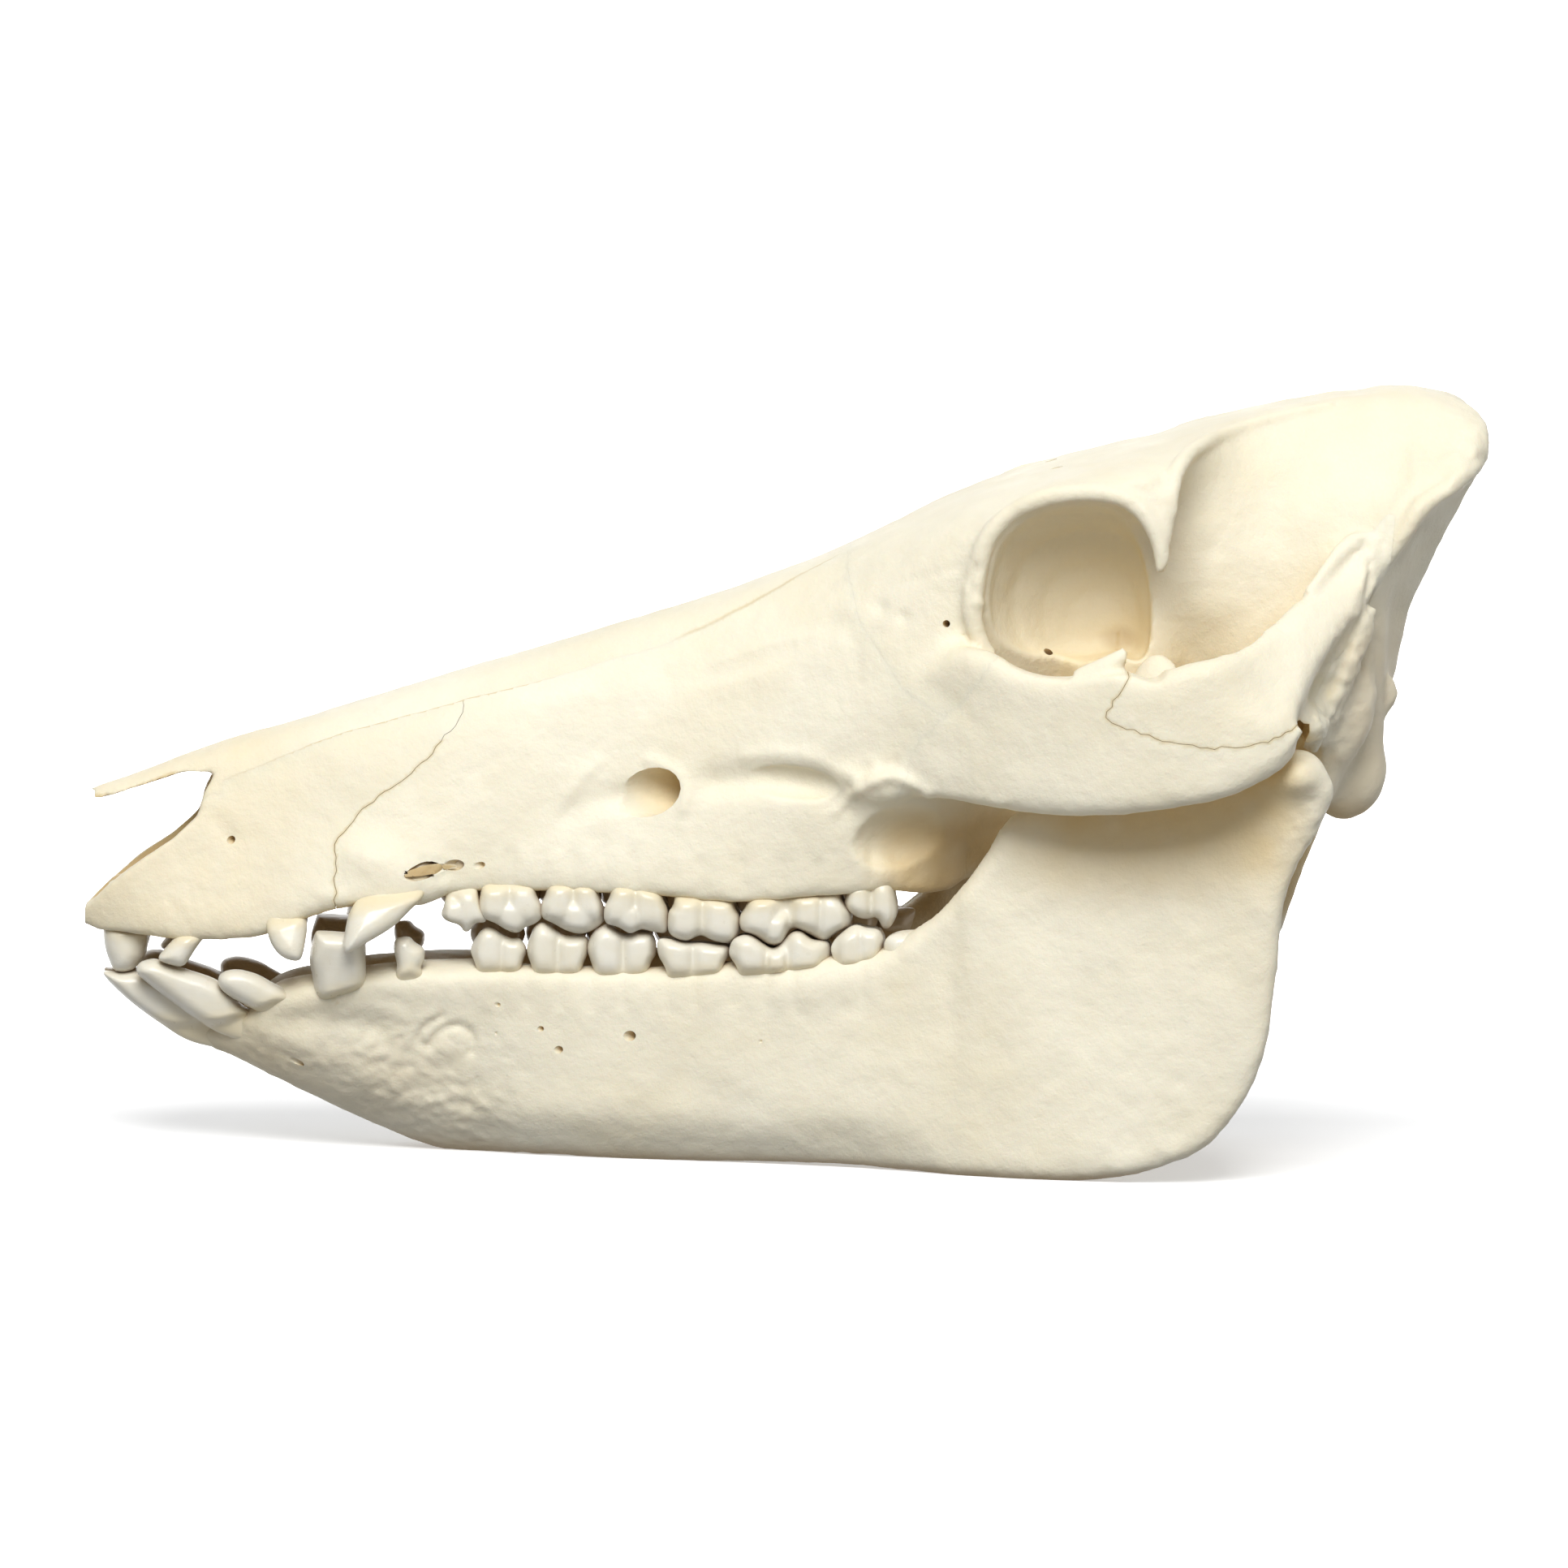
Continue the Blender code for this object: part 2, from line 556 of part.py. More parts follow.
def arch(collection, side):
    def reach(x, z):
        lean = np.clip(z - ARCH_LEAN_FROM, 0, None) * ARCH_LEAN * soft_step(x, 84, 104)
        return table(ARCH_REACH, 1, x) - lean

    def thickness(x, z):
        return table(ARCH_REACH, 2, x)

    def rim(x, z):
        return 3.5 + 0 * x

    return bent_plate("arch", ARCH, reach, thickness, rim, collection, side)


def base_of_skull(collection, side):
    """Condyles, jugular processes, bullae, wing bones and the bony ear canal."""
    return [
        ellipsoid("condyle", (119.5, 15, 88), (8.5, 8, 10.5), collection, side, (0, 20, 0)),
        ellipsoid("condyle_neck", (112, 14, 92), (10, 8, 9), collection, side),
        ellipsoid("bulla", (98, 19, 77), (11, 6.5, 13), collection, side, (0, -15, 0)),
        ellipsoid("mastoid", (117, 29, 101), (7, 6, 13), collection, side, (0, 20, 0)),
        ellipsoid("joint_seat", (105, 45, 101.5), (9, 13, 4.5), collection, side, (0, 10, 0)),
        rod("jugular", ((115.5, 26, 97), (109, 26.5, 80), (104.7, 26, 65.5), (102.6, 25, 53)),
            (6.2, 5.0, 3.8, 2.2), collection, side),
        rod("ear_canal", ((109, 36, 97), (113, 38, 106), (118, 38, 116), (122.5, 37, 124)),
            (5.0, 5.0, 4.2, 3.0), collection, side),
        rod("wing_bone", ((34, 14, 72), (44, 13.5, 70), (55, 13, 74), (66, 12, 82)),
            (4.5, 4.0, 4.0, 4.5), collection, side),
        rod("hamulus", ((50, 14, 72), (54, 14.5, 66), (58, 15, 62)), (3.0, 2.4, 1.6),
            collection, side),
        ellipsoid("socket_wall", (72, 22, 113), (14, 10, 20), collection, side),
        ellipsoid("canine_root", (-84, 21, 68), (12, 6, 6), collection, side, (0, 25, 0)),
        ellipsoid("cheek_tuber", (19, 36.5, 88), (13, 5, 5), collection, side, (0, -8, 20)),
    ]


def temple_back_wall(collection, side):
    """The wall of the temporal bone that joins the rear of the arch to the braincase."""
    rings = []
    for z, inner_x, outer_x, outer_w in smooth_path(TEMPLE_WALL, 3):
        rings.append([
            (inner_x - 3, 24, z), (inner_x + 3, 24, z),
            (outer_x + 2, outer_w, z), (outer_x - 2, outer_w, z),
        ])
    return loft("temple_back_wall", rings, collection, side)


def dents(collection, side):
    """Hollows of the face: each is an ellipsoid at (x, half width, z) with radii and a turn."""
    return [
        ellipsoid("dent", centre, radii, collection, side, turn) for centre, radii, turn in DENTS
    ]


def brow(collection, side):
    """The margin of the eye socket, the process behind it and the line above the temple."""
    def reach(x, z):
        return 50.6 - 0.25 * np.clip(z - 140, 0, None)

    def thickness(x, z):
        return 5 + 0 * x

    def rim(x, z):
        return 2.2 + 0 * x

    return [
        rod("eye_rim", EYE_RIM, EYE_RIM_RADII, collection, side),
        rod("temple_line", TEMPLE_LINE, TEMPLE_LINE_RADII, collection, side),
        bent_plate("eye_process", EYE_PROCESS, reach, thickness, rim, collection, side),
    ]


def nose_cavity(collection):
    """The airway, open at the nose and tapering off inside the face."""
    rows = (
        (-160, 7.0, 58, 86), (-145, 7.5, 60, 84), (-132, 9.5, 62.5, 86.5), (-120, 10.5, 64, 90.5),
        (-105, 11.5, 68, 94.5), (-90, 12, 73, 98.5), (-75, 11.5, 77, 102.5), (-62, 9, 82, 104),
        (-52, 4, 89, 102),
    )
    rings = []
    for x, width, low, high in smooth_path(rows, 3):
        middle = (low + high) / 2
        tall = (high - low) / 2
        turn = [2 * math.pi * k / 20 for k in range(20)]
        rings.append([
            (x, width * math.copysign(abs(math.sin(a)) ** 0.8, math.sin(a)),
             middle + tall * math.cos(a)) for a in turn
        ])
    return loft("airway", rings, collection)


def eye_socket(collection, side):
    """The socket narrows inwards from its rim, with its back side open to the temple."""
    rim = smooth_path(ORBIT_RIM, 3, closed=True)
    middle = rim.mean(axis=0)
    depths = ((84, 1.25, 0.0, 0.0), (62, 1.06, 0.0, 0.0), (46, 1.0, 0.0, 0.0),
              (36, 0.93, 1.0, 1.2), (28, 0.8, 3.0, 3.5), (23, 0.55, 5.0, 7.0), (21, 0.3, 6.0, 9.0))
    rings = []
    for y, size, back, drop in depths:
        ring = middle + (rim - middle) * size
        rings.append([(x + back, y, z - drop) for x, z in ring])
    return loft("socket", rings, collection, side)


def cut_all(obj, cutters):
    for cutter in cutters:
        boolean(obj, cutter, "DIFFERENCE")
        bpy.data.objects.remove(cutter)
    return obj


def teeth(collection, side, rods, rows, gum, up, chance):
    for name, (points, radii) in rods.items():
        rod(name, points, radii, collection, side, sides=1, steps=2)
    for x, row_width, length, width in rows:
        gum_z = np.interp(x, [g[0] for g in gum], [g[1] for g in gum])
        size = (length, width * chance.uniform(0.95, 1.02))
        crown("cheek_tooth", (x, row_width, gum_z), size, up, collection, side)


def crown(name, gum, size, up, collection, side):
    """A cheek tooth: a root below the gum, a crown that swells, and a top that meets the bite."""
    x, y, gum_z = gum
    length, width = size
    count = 8
    turn = [2 * math.pi * (k + 0.5) / count for k in range(count)]

    def oval(scale):
        for angle in turn:
            u = math.copysign(abs(math.cos(angle)) ** 0.7, math.cos(angle))
            v = math.copysign(abs(math.sin(angle)) ** 0.7, math.sin(angle))
            yield x + u * scale * length / 2, y + v * scale * width / 2

    def bite(at):
        return table(BITE, 1, at) - up * BITE_ROOM

    rings = []
    for rise, scale in ((-TOOTH_ROOT, 0.8), (0.0, 0.88)):
        rings.append([(a, b, gum_z + up * rise) for a, b in oval(scale)])
    for reach, scale in ((0.6, 1.0), (0.93, 0.88), (1.0, 0.5)):
        rings.append([
            (a, b, gum_z + reach * (bite(a) - gum_z)) for a, b in oval(scale)
        ])
    return loft(name, rings, collection, side)


def add_teeth(bone, rods, rows, gum, up, chance):
    roots = new_collection("teeth")
    for side in (-1, 1):
        teeth(roots, side, rods, rows, gum, up, chance)
    boolean(bone, roots, "UNION")
    for tooth in list(roots.objects):
        bpy.data.objects.remove(tooth)
    bpy.data.collections.remove(roots)
    return keep_largest(bone)


def make_cranium(collection, chance):
    pieces = [face_and_roof(collection), occiput(collection)]
    for side in (-1, 1):
        pieces.append(arch(collection, side))
        pieces += base_of_skull(collection, side)
        pieces.append(temple_back_wall(collection, side))
    skull = merged("whole_cranium", pieces, collection)
    fuse(skull, FILLET_VOXEL, 6)
    cutters = [nose_cavity(collection)]
    cutters.append(slab("notch", NOSE_NOTCH, -60, 60, collection))
    for side in (-1, 1):
        cutters.append(eye_socket(collection, side))
        cutters += dents(collection, side)
    cutters.append(rod("spinal_hole", ((104, 0, 100), (118, 0, 100), (140, 0, 103)),
                       (8, 9.5, 11), collection))
    cutters.append(ellipsoid("choana", (52, 0, 70), (18, 8.5, 10), collection))
    cut_all(skull, cutters)
    brows = brow(collection, -1) + brow(collection, 1)
    skull = merged("whole_cranium", [skull] + brows, collection)
    fuse(skull, VOXEL, 3)
    thin_out(skull, CRANIUM_TRIANGLES)
    return add_teeth(skull, UPPER_RODS, UPPER_CHEEK, UPPER_GUM, -1, chance)


# The lower jaw

def jaw_half(collection, side):
    def between(z, x, top, low):
        high = np.where(x < 36, JAW_HIGH_BODY, JAW_HIGH_RAMUS)
        share = np.clip((z - JAW_LOW) / (high - JAW_LOW), 0, 1.1)
        return table(JAW_REACH, low, x) * (1 - share) + table(JAW_REACH, top, x) * share

    def under(x, z):
        """How far the body's outer side draws in towards its lower border."""
        border = np.interp(x, *np.array(JAW[:13]).T)
        return JAW_UNDER * soft_step(border - z, -12, -1) * soft_step(-x, -42, -12)

    def reach(x, z):
        coronoid = 10 * soft_step(z, 92, 114) * soft_step(-x, -92, -80)
        return between(z, x, 1, 3) - coronoid - under(x, z)

    def thickness(x, z):
        return between(z, x, 2, 4) - under(x, z)

    def rim(x, z):
        return 3.2 + 3.3 * soft_step(-x, -35, 0) * soft_step(-z, -26, -12)

    return bent_plate("jaw", JAW, reach, thickness, rim, collection, side)


def make_jaw(collection, chance):
    pieces = []
    for side in (-1, 1):
        pieces.append(jaw_half(collection, side))
        pieces.append(ellipsoid("jaw_condyle", (106, 54, 91), (6.5, 11, 5.5), collection, side))
        pieces.append(ellipsoid("tooth_shelf", (8, 27, 44), (28, 6.5, 7), collection, side,
                                (0, -6, 10)))
    jaw = merged("whole_jaw", pieces, collection)
    fuse(jaw, VOXEL, 5)
    thin_out(jaw, JAW_TRIANGLES)
    return add_teeth(jaw, LOWER_RODS, LOWER_CHEEK, LOWER_GUM, 1, chance)


# Parting the bones

def copy_of(obj, name, collection):
    return add_object(name, obj.data.copy(), collection)


def grown(outline, by):
    """The outline moved outwards by a small distance."""
    points = np.array(outline, float)
    before = np.roll(points, 1, axis=0)
    after = np.roll(points, -1, axis=0)
    area = np.sum(before[:, 0] * points[:, 1] - points[:, 0] * before[:, 1])
    along = after - before
    along /= np.hypot(along[:, 0], along[:, 1])[:, None]
    outwards = np.stack([along[:, 1], -along[:, 0]], axis=1) * math.copysign(1, area)
    return points + outwards * by


def part_off(whole, name, outline, low, high, collection):
    """Takes the bone inside a side outline off the whole, and leaves a thin gap round it."""
    piece = copy_of(whole, name, collection)
    inner = slab("inner", outline, low, high, collection)
    boolean(piece, inner, "INTERSECT")
    outer = slab("outer", grown(outline, GAP), low - GAP, high + GAP, collection)
    boolean(whole, outer, "DIFFERENCE")
    bpy.data.objects.remove(inner)
    bpy.data.objects.remove(outer)
    keep_largest(piece)
    keep_largest(whole)
    return piece


ZYGOMATIC = (
    (22, 70), (23, 86), (27, 97), (37, 107), (45.5, 119), (58, 128), (70.8, 124), (70.1, 116.9),
    (70.2, 112.4), (66.8, 107.5), (65.4, 103.9), (68.2, 102.2), (75.6, 99.7), (86.5, 97.8),
    (95, 98.1), (101.8, 100), (106.5, 102.6), (108.6, 101.6), (108.2, 95), (103, 75), (60, 70),
)
TEMPORAL = (
    (64, 105), (72, 122), (95, 126), (118, 148), (128, 144), (126.5, 130), (121, 120.5),
    (114, 113), (110.5, 106), (112, 98), (108, 94), (75, 92),
)
INCISIVE = (
    (-95.6, 40), (-95.6, 70), (-95.8, 74), (-90, 81.3), (-82.7, 86.5), (-78.6, 90), (-75, 93),
    (-68.6, 101.5), (-68.6, 130), (-175, 130), (-175, 40),
)
MAXILLA = (
    (16, 175), (13, 132), (15, 122), (24, 108), (38, 99), (38, 40), (-120, 40), (-120, 175),
)
ARCH_ROOT = 36.0
TEMPORAL_ROOT = 34.0


def nasal_region(by, collection):
    """The block of space that holds the nasal bones, along the roof of the snout."""
    rows = ((-175, 40, 74), (-128, 40, 79.5), (-122, 40, 84), (-119.5, 11.5, 84), (-97, 12.6, 92),
            (-66, 13.4, 101), (-25, 14.6, 113.5), (0, 13, 122), (14, 9, 128))
    rings = []
    for x, width, low in rows:
        w = width + by
        rings.append([(x, -w, low - by), (x, w, low - by), (x, w, 200), (x, -w, 200)])
    if by:
        end = rings[-1]
        rings.append([(x + by, y, z) for x, y, z in end])
    return loft("nasal_region", rings, collection)


def part_cranium(skull, collection):
    pieces = []
    for side, name in ((-1, "left"), (1, "right")):
        for bone, outline, root in (
            ("zygomatic", ZYGOMATIC, ARCH_ROOT),
            ("temporal_arch", TEMPORAL, TEMPORAL_ROOT),
        ):
            low, high = sorted((side * root, side * 95))
            pieces.append(part_off(skull, f"{bone}_{name}", outline, low, high, collection))
    nasal = copy_of(skull, "nasal_bones", collection)
    for obj, by, operation in ((nasal, 0, "INTERSECT"), (skull, GAP, "DIFFERENCE")):
        region = nasal_region(by, collection)
        boolean(obj, region, operation)
        bpy.data.objects.remove(region)
        keep_largest(obj)
    pieces.append(nasal)
    pieces.append(part_off(skull, "incisive_bones", INCISIVE, -95, 95, collection))
    pieces.append(part_off(skull, "maxilla", MAXILLA, -95, 95, collection))
    skull.name = "braincase"
    return pieces + [skull]


def part_jaw(jaw, collection):
    halves = []
    for side, name in ((-1, "mandible_left"), (1, "mandible_right")):
        half = copy_of(jaw, name, collection)
        low, high = sorted((side * GAP / 2, side * 95))
        box = slab("half", ((-175, -20), (175, -20), (175, 175), (-175, 175)), low, high,
                   collection)
        boolean(half, box, "INTERSECT")
        bpy.data.objects.remove(box)
        halves.append(keep_largest(half))
    bpy.data.objects.remove(jaw)
    return halves


# Standing at rest

def settle(bones):
    """Tilts the skull to its pose at rest, centres it, and sets it down on small flats."""
    turn = Matrix.Rotation(-REST_TILT, 4, "Y")
    for bone in bones:
        bone.data.transform(turn)
    points = np.vstack([coordinates(bone.data) for bone in bones])
    low = points.min(axis=0)
    high = points.max(axis=0)
    floor = low[2] + FLAT_DEPTH * MM
    centre = (low + high) / 2
    place = Matrix.Translation((-centre[0], -centre[1], -floor))
    for bone in bones:
        bone.data.transform(place)
        if coordinates(bone.data)[:, 2].min() < 0:
            stand_flat(bone)
    return place


def stand_flat(bone):
    work = bmesh.new()
    work.from_mesh(bone.data)
    everything = work.verts[:] + work.edges[:] + work.faces[:]
    cut = bmesh.ops.bisect_plane(work, geom=everything, plane_co=(0, 0, 0), plane_no=(0, 0, -1),
                                 clear_outer=True)
    rim = [item for item in cut["geom_cut"] if isinstance(item, bmesh.types.BMEdge)]
    bmesh.ops.triangle_fill(work, use_dissolve=False, edges=rim, normal=(0, 0, -1))
    bmesh.ops.recalc_face_normals(work, faces=work.faces)
    work.to_mesh(bone.data)
    work.free()


def bone_material(name):
    material = bpy.data.materials.new(name)
    material.use_nodes = True
    shader = material.node_tree.nodes["Principled BSDF"]
    shader.inputs["Base Color"].default_value = BONE_COLOUR
    shader.inputs["Roughness"].default_value = BONE_ROUGHNESS
    shader.inputs["Metallic"].default_value = 0.0
    return material


def main():
    reset_scene()
    parts = new_collection("pig_skull")
    chance = random.Random(SEED)
    skull = make_cranium(parts, chance)
    jaw = make_jaw(parts, chance)
    bones = part_cranium(skull, parts) + part_jaw(jaw, parts)
    settle(bones)
    for bone in bones:
        bone.data.materials.clear()
        bone.data.materials.append(bone_material(f"{bone.name}_bone"))


main()
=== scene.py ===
"""The looks of the pig skull: fine bones with their sutures, small openings and teeth, on a pale
floor in soft studio light, seen from the left side.

The bones repeat the forms of the solids, in millimetres in the same working frame, with a finer
skin. They are then carved, parted along the same sutures and set down as the solids are. The nose
points to -X, the left side faces -Y and +Z is up.
"""

import math
import random

import bmesh
import bpy
import numpy as np
from mathutils import Matrix, Vector


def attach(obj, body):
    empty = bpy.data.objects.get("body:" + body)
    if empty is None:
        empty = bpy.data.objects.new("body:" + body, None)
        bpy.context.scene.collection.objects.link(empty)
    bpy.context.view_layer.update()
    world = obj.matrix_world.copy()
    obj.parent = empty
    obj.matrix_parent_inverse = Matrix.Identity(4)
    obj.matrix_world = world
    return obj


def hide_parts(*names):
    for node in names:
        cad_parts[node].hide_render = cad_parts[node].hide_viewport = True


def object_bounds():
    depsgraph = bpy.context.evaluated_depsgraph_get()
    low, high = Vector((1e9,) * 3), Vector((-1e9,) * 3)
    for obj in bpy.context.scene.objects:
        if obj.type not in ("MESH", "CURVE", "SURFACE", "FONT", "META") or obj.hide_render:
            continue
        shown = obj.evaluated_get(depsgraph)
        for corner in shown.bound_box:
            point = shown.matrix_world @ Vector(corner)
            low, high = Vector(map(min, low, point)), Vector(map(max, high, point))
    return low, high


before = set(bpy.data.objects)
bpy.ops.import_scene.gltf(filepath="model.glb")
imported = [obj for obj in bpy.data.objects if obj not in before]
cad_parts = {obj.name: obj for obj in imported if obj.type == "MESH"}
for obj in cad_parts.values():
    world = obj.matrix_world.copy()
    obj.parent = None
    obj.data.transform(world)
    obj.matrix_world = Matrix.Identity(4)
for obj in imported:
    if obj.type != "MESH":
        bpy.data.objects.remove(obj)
CAD_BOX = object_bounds()

MM = 0.001
SEED = 41

# Fineness of the skins.
FILLET_VOXEL = 1.6
PLATE_VOXEL = 1.4
FINE_VOXEL = 0.72
BONE_VOXEL = FINE_VOXEL
TOOTH_VOXEL = 0.34

# Half depth of the slabs that plates and crowns are bent from, and how full they are at the edge.
PLATE_HALF = 6.0
PLATE_EDGE = 0.35
TOOTH_HALF = 2.0
TOOTH_EDGE = 0.16

# Gaps between two bones: at a suture that shows, and at one that doesn't.
SUTURE = 0.09
TIGHT = 0.006

# The pose at rest: the head is lowered at the front until chin and jaw angles stand level.
REST_TILT = math.radians(1.2)
FLAT_DEPTH = 0.5

# Cross sections of the face and the roof of the skull. Each row: x, height of the roof, half
# width of the roof, drop to its edge, then half width and height of the upper side wall and of
# the cheek, half width and height of the tooth-bearing edge, and height of the palate.
SECTIONS = (
    (-151, 83.5, 2.5, 1.0, 4.0, 78, 4.5, 66, 5.0, 55.5, 56.5),
    (-146, 85.2, 4.0, 1.2, 8.0, 78, 9.5, 66, 9.0, 54.5, 56.5),
    (-138, 88.0, 6.0, 1.8, 11.0, 79, 12.5, 67, 13.5, 54.0, 57.0),
    (-126, 92.3, 8.5, 2.5, 12.0, 82, 15.0, 68, 17.5, 53.5, 58.5),
    (-112, 96.6, 10.5, 3.5, 13.5, 86, 17.5, 71, 20.5, 54.5, 60.5),
    (-97, 101.3, 12.0, 4.5, 15.5, 91, 20.0, 76, 24.5, 60.5, 66.0),
    (-82, 105.6, 12.5, 5.0, 17.0, 95, 21.5, 80, 26.0, 62.5, 68.0),
    (-66, 110.4, 13.0, 5.5, 17.5, 99, 21.5, 82, 23.0, 64.3, 70.0),
    (-46, 116.3, 13.5, 6.0, 18.0, 104, 22.5, 84, 25.5, 64.7, 71.0),
    (-25, 122.8, 14.5, 6.5, 19.5, 109, 25.0, 87, 28.5, 63.5, 71.5),
    (-8, 128.2, 16.0, 6.5, 23.0, 114, 29.0, 90, 31.0, 62.7, 72.0),
    (8, 133.8, 20.0, 6.0, 29.0, 119, 35.0, 95, 33.5, 64.0, 73.0),
    (22, 140.3, 28.0, 6.0, 36.0, 124, 40.0, 101, 32.0, 65.0, 74.0),
    (34, 145.6, 37.0, 5.5, 41.0, 129, 39.0, 108, 24.0, 64.0, 74.0),
    (44, 149.4, 43.0, 4.5, 42.0, 138, 34.0, 112, 17.0, 72.0, 76.0),
    (60, 154.2, 47.0, 4.0, 38.0, 141, 27.0, 122, 15.0, 83.0, 82.0),
    (73, 157.6, 49.5, 6.0, 34.0, 142, 28.0, 122, 16.0, 85.0, 83.0),
    (80, 159.0, 45.5, 6.5, 32.0, 146, 29.0, 123, 17.0, 85.0, 83.0),
    (87, 161.2, 31.5, 1.8, 30.0, 148, 29.5, 124, 18.0, 85.0, 83.0),
    (95, 163.4, 20.0, 1.2, 26.5, 150, 30.0, 125, 20.0, 85.0, 83.0),
    (105, 165.8, 15.5, 1.0, 24.5, 151, 30.0, 126, 21.0, 85.0, 83.0),
    (117, 168.0, 14.0, 1.0, 24.0, 151, 30.0, 128, 22.0, 86.0, 84.0),
    (127, 169.0, 14.0, 1.2, 24.5, 151, 30.0, 130, 20.0, 92.0, 90.0),
)
SECTION_STEPS = 4
ROD_STEPS = 4
OUTLINE_STEPS = 4

# Level sections of the back of the head. Each row: z, x of its front, x and half width of the
# rear edge, how far the middle lies in front of that edge, x and half width of the side margin
# that rises to the nuchal crest, and half width further forward.
OCCIPUT = (
    (82, 88, 117.0, 8.0, 1.0, 112.0, 14.0, 12.0),
    (90, 88, 124.0, 12.0, 1.5, 116.0, 24.0, 20.0),
    (98, 88, 127.5, 14.0, 2.5, 119.0, 27.0, 26.0),
    (107, 88, 129.5, 14.0, 3.0, 121.0, 29.0, 29.0),
    (115, 88, 131.0, 14.5, 3.5, 122.0, 31.0, 30.0),
    (123, 88, 132.7, 15.5, 4.5, 123.0, 33.0, 30.0),
    (130, 88, 136.0, 17.0, 5.5, 125.0, 34.5, 29.0),
    (138, 88, 139.7, 19.0, 6.5, 128.5, 36.0, 28.0),
    (146, 90, 143.6, 21.5, 6.5, 134.5, 36.0, 26.0),
    (152.5, 95, 146.8, 23.0, 6.0, 141.5, 32.5, 23.0),
    (158, 102, 149.4, 22.0, 4.5, 146.0, 27.0, 20.0),
    (163.5, 111, 149.0, 17.0, 3.0, 144.5, 21.0, 18.0),
    (167.5, 121, 144.0, 11.0, 1.5, 139.0, 15.5, 16.0),
    (169.8, 127, 134.5, 6.0, 0.5, 130.0, 11.0, 12.0),
)

# Side outline of the cheek arch, from its root on the face, back along the lower edge to the
# joint of the jaw, up the temporal bone to its peak and forward along the upper edge.
ARCH = (
    (12, 96), (21.8, 88.8), (29.4, 85.3), (37, 84.6), (45.8, 83.2), (53.2, 82.3), (64.9, 82.6),
    (79.7, 84.5), (92.4, 87.6), (101, 91.7), (106, 96.5), (106, 102.5), (110, 111.8),
    (115.5, 118.5), (120.8, 125.5), (123.8, 133), (124.8, 136.5), (122.3, 139.6), (118.5, 138.4),
    (110.6, 130.7), (101.6, 123.4), (92.7, 118), (81.5, 115.4), (74, 113.6), (70.3, 114.8),
    (68.6, 117.2), (63.7, 115.4), (55.4, 113.3), (47.1, 114.4), (42, 117), (34, 117), (20, 108),
)
# Outer half width of the arch along x, and its thickness there.
ARCH_REACH = (
    (12, 35, 10), (25, 42, 12), (37, 50.5, 12), (46, 57, 10), (58, 63.5, 9), (70, 68.5, 8),
    (80, 70.8, 7.5), (92, 71.5, 7), (100, 70.5, 7), (106, 68.5, 7), (125, 60, 7),
)
ARCH_RIM = 3.5
ARCH_LEAN_FROM = 103.0
ARCH_LEAN = 0.84

# Side outline of the lower jaw: along the lower border from the chin, round the angle, up the
# back edge to the condyle, over the notch and the coronoid process, and forward along the teeth.
JAW = (
    (-124.8, 30.3), (-117, 27), (-103.2, 19.8), (-89.4, 13.4), (-78, 8.4), (-68.8, 6.7),
    (-55, 6.6), (-41.2, 6.3), (-20.6, 5.9), (0, 5.8), (13.6, 5.6), (27.1, 5), (40.5, 4.4),
    (54.1, 4.2), (67.7, 4.9), (81.3, 8.5), (88.1, 12.6), (94.9, 20.3), (99.5, 29.9),
    (101.7, 40.5), (103, 56.2), (104.4, 66.4), (108.5, 75.3), (111.8, 81.4), (114, 86),
    (113.6, 90), (110.5, 94), (104, 96.5), (97, 94), (90, 91), (86, 98), (84.5, 108),
    (81.5, 113.8), (77.2, 116), (73, 112), (67, 102), (56, 90), (45.7, 80), (42.3, 73.7),
    (33.9, 62.5), (28.8, 57.8), (20, 52.6), (8.8, 50.4), (-12.1, 49.2), (-27.5, 48),
    (-46.4, 48), (-67, 48.6), (-77.3, 48.2), (-89.3, 47.2), (-100.5, 45.2), (-108, 43.6),
    (-115, 37.8), (-120.9, 34.4), (-125, 34.5),
)
# The jaw along x: outer half width and thickness at the tooth row or ramus, then at the border.
JAW_REACH = (
    (-126, 11, 12, 9, 10), (-110, 18.5, 19.5, 10.5, 11.5), (-95, 21.8, 22.8, 11.5, 12.5),
    (-80, 22, 23, 12.8, 13.8), (-66, 22.5, 23.5, 15.6, 16.6), (-55, 23.5, 13, 20.8, 13),
    (-40, 25.5, 11.5, 25, 12), (-20, 28, 11.5, 28, 12), (0, 31, 12, 32, 12),
    (20, 35.5, 12, 37.5, 11), (35, 40, 10, 43, 10), (50, 44, 8, 48, 9), (65, 47, 7, 51, 8),
    (80, 50.5, 6.5, 53, 7), (95, 55, 7, 54, 7), (108, 60, 8, 55, 7), (116, 62, 8, 56, 7),
)
JAW_LOW = 8.0
JAW_HIGH_BODY = 46.0
JAW_HIGH_RAMUS = 88.0
JAW_UNDER = 4.5

# Openings, seen from the side: the nose notch between the nasal tip and the incisive bone, and
# the rim of the eye socket.
NOSE_NOTCH = (
    (-175, 70), (-156, 80.5), (-150, 81.2), (-141, 84), (-134, 86.2), (-128, 88.2), (-121, 88.6),
    (-123.6, 84), (-124.9, 79.4), (-130.1, 74.6), (-138.4, 69), (-144, 64.3), (-149.1, 59),
    (-153, 52), (-175, 50),
)
ORBIT_RIM = (
    (58.3, 147.2), (64.5, 147.5), (68.7, 146.5), (72.3, 144), (74.6, 140.4), (75.8, 136),
    (76.8, 130), (77.2, 121), (75, 113.5), (68, 114.5), (58, 112.5), (49, 113.5), (43.8, 116.6),
    (41.2, 122), (40.5, 128), (41.8, 134.5), (43.7, 139.2), (47.3, 142.9), (52.4, 145.8),
)

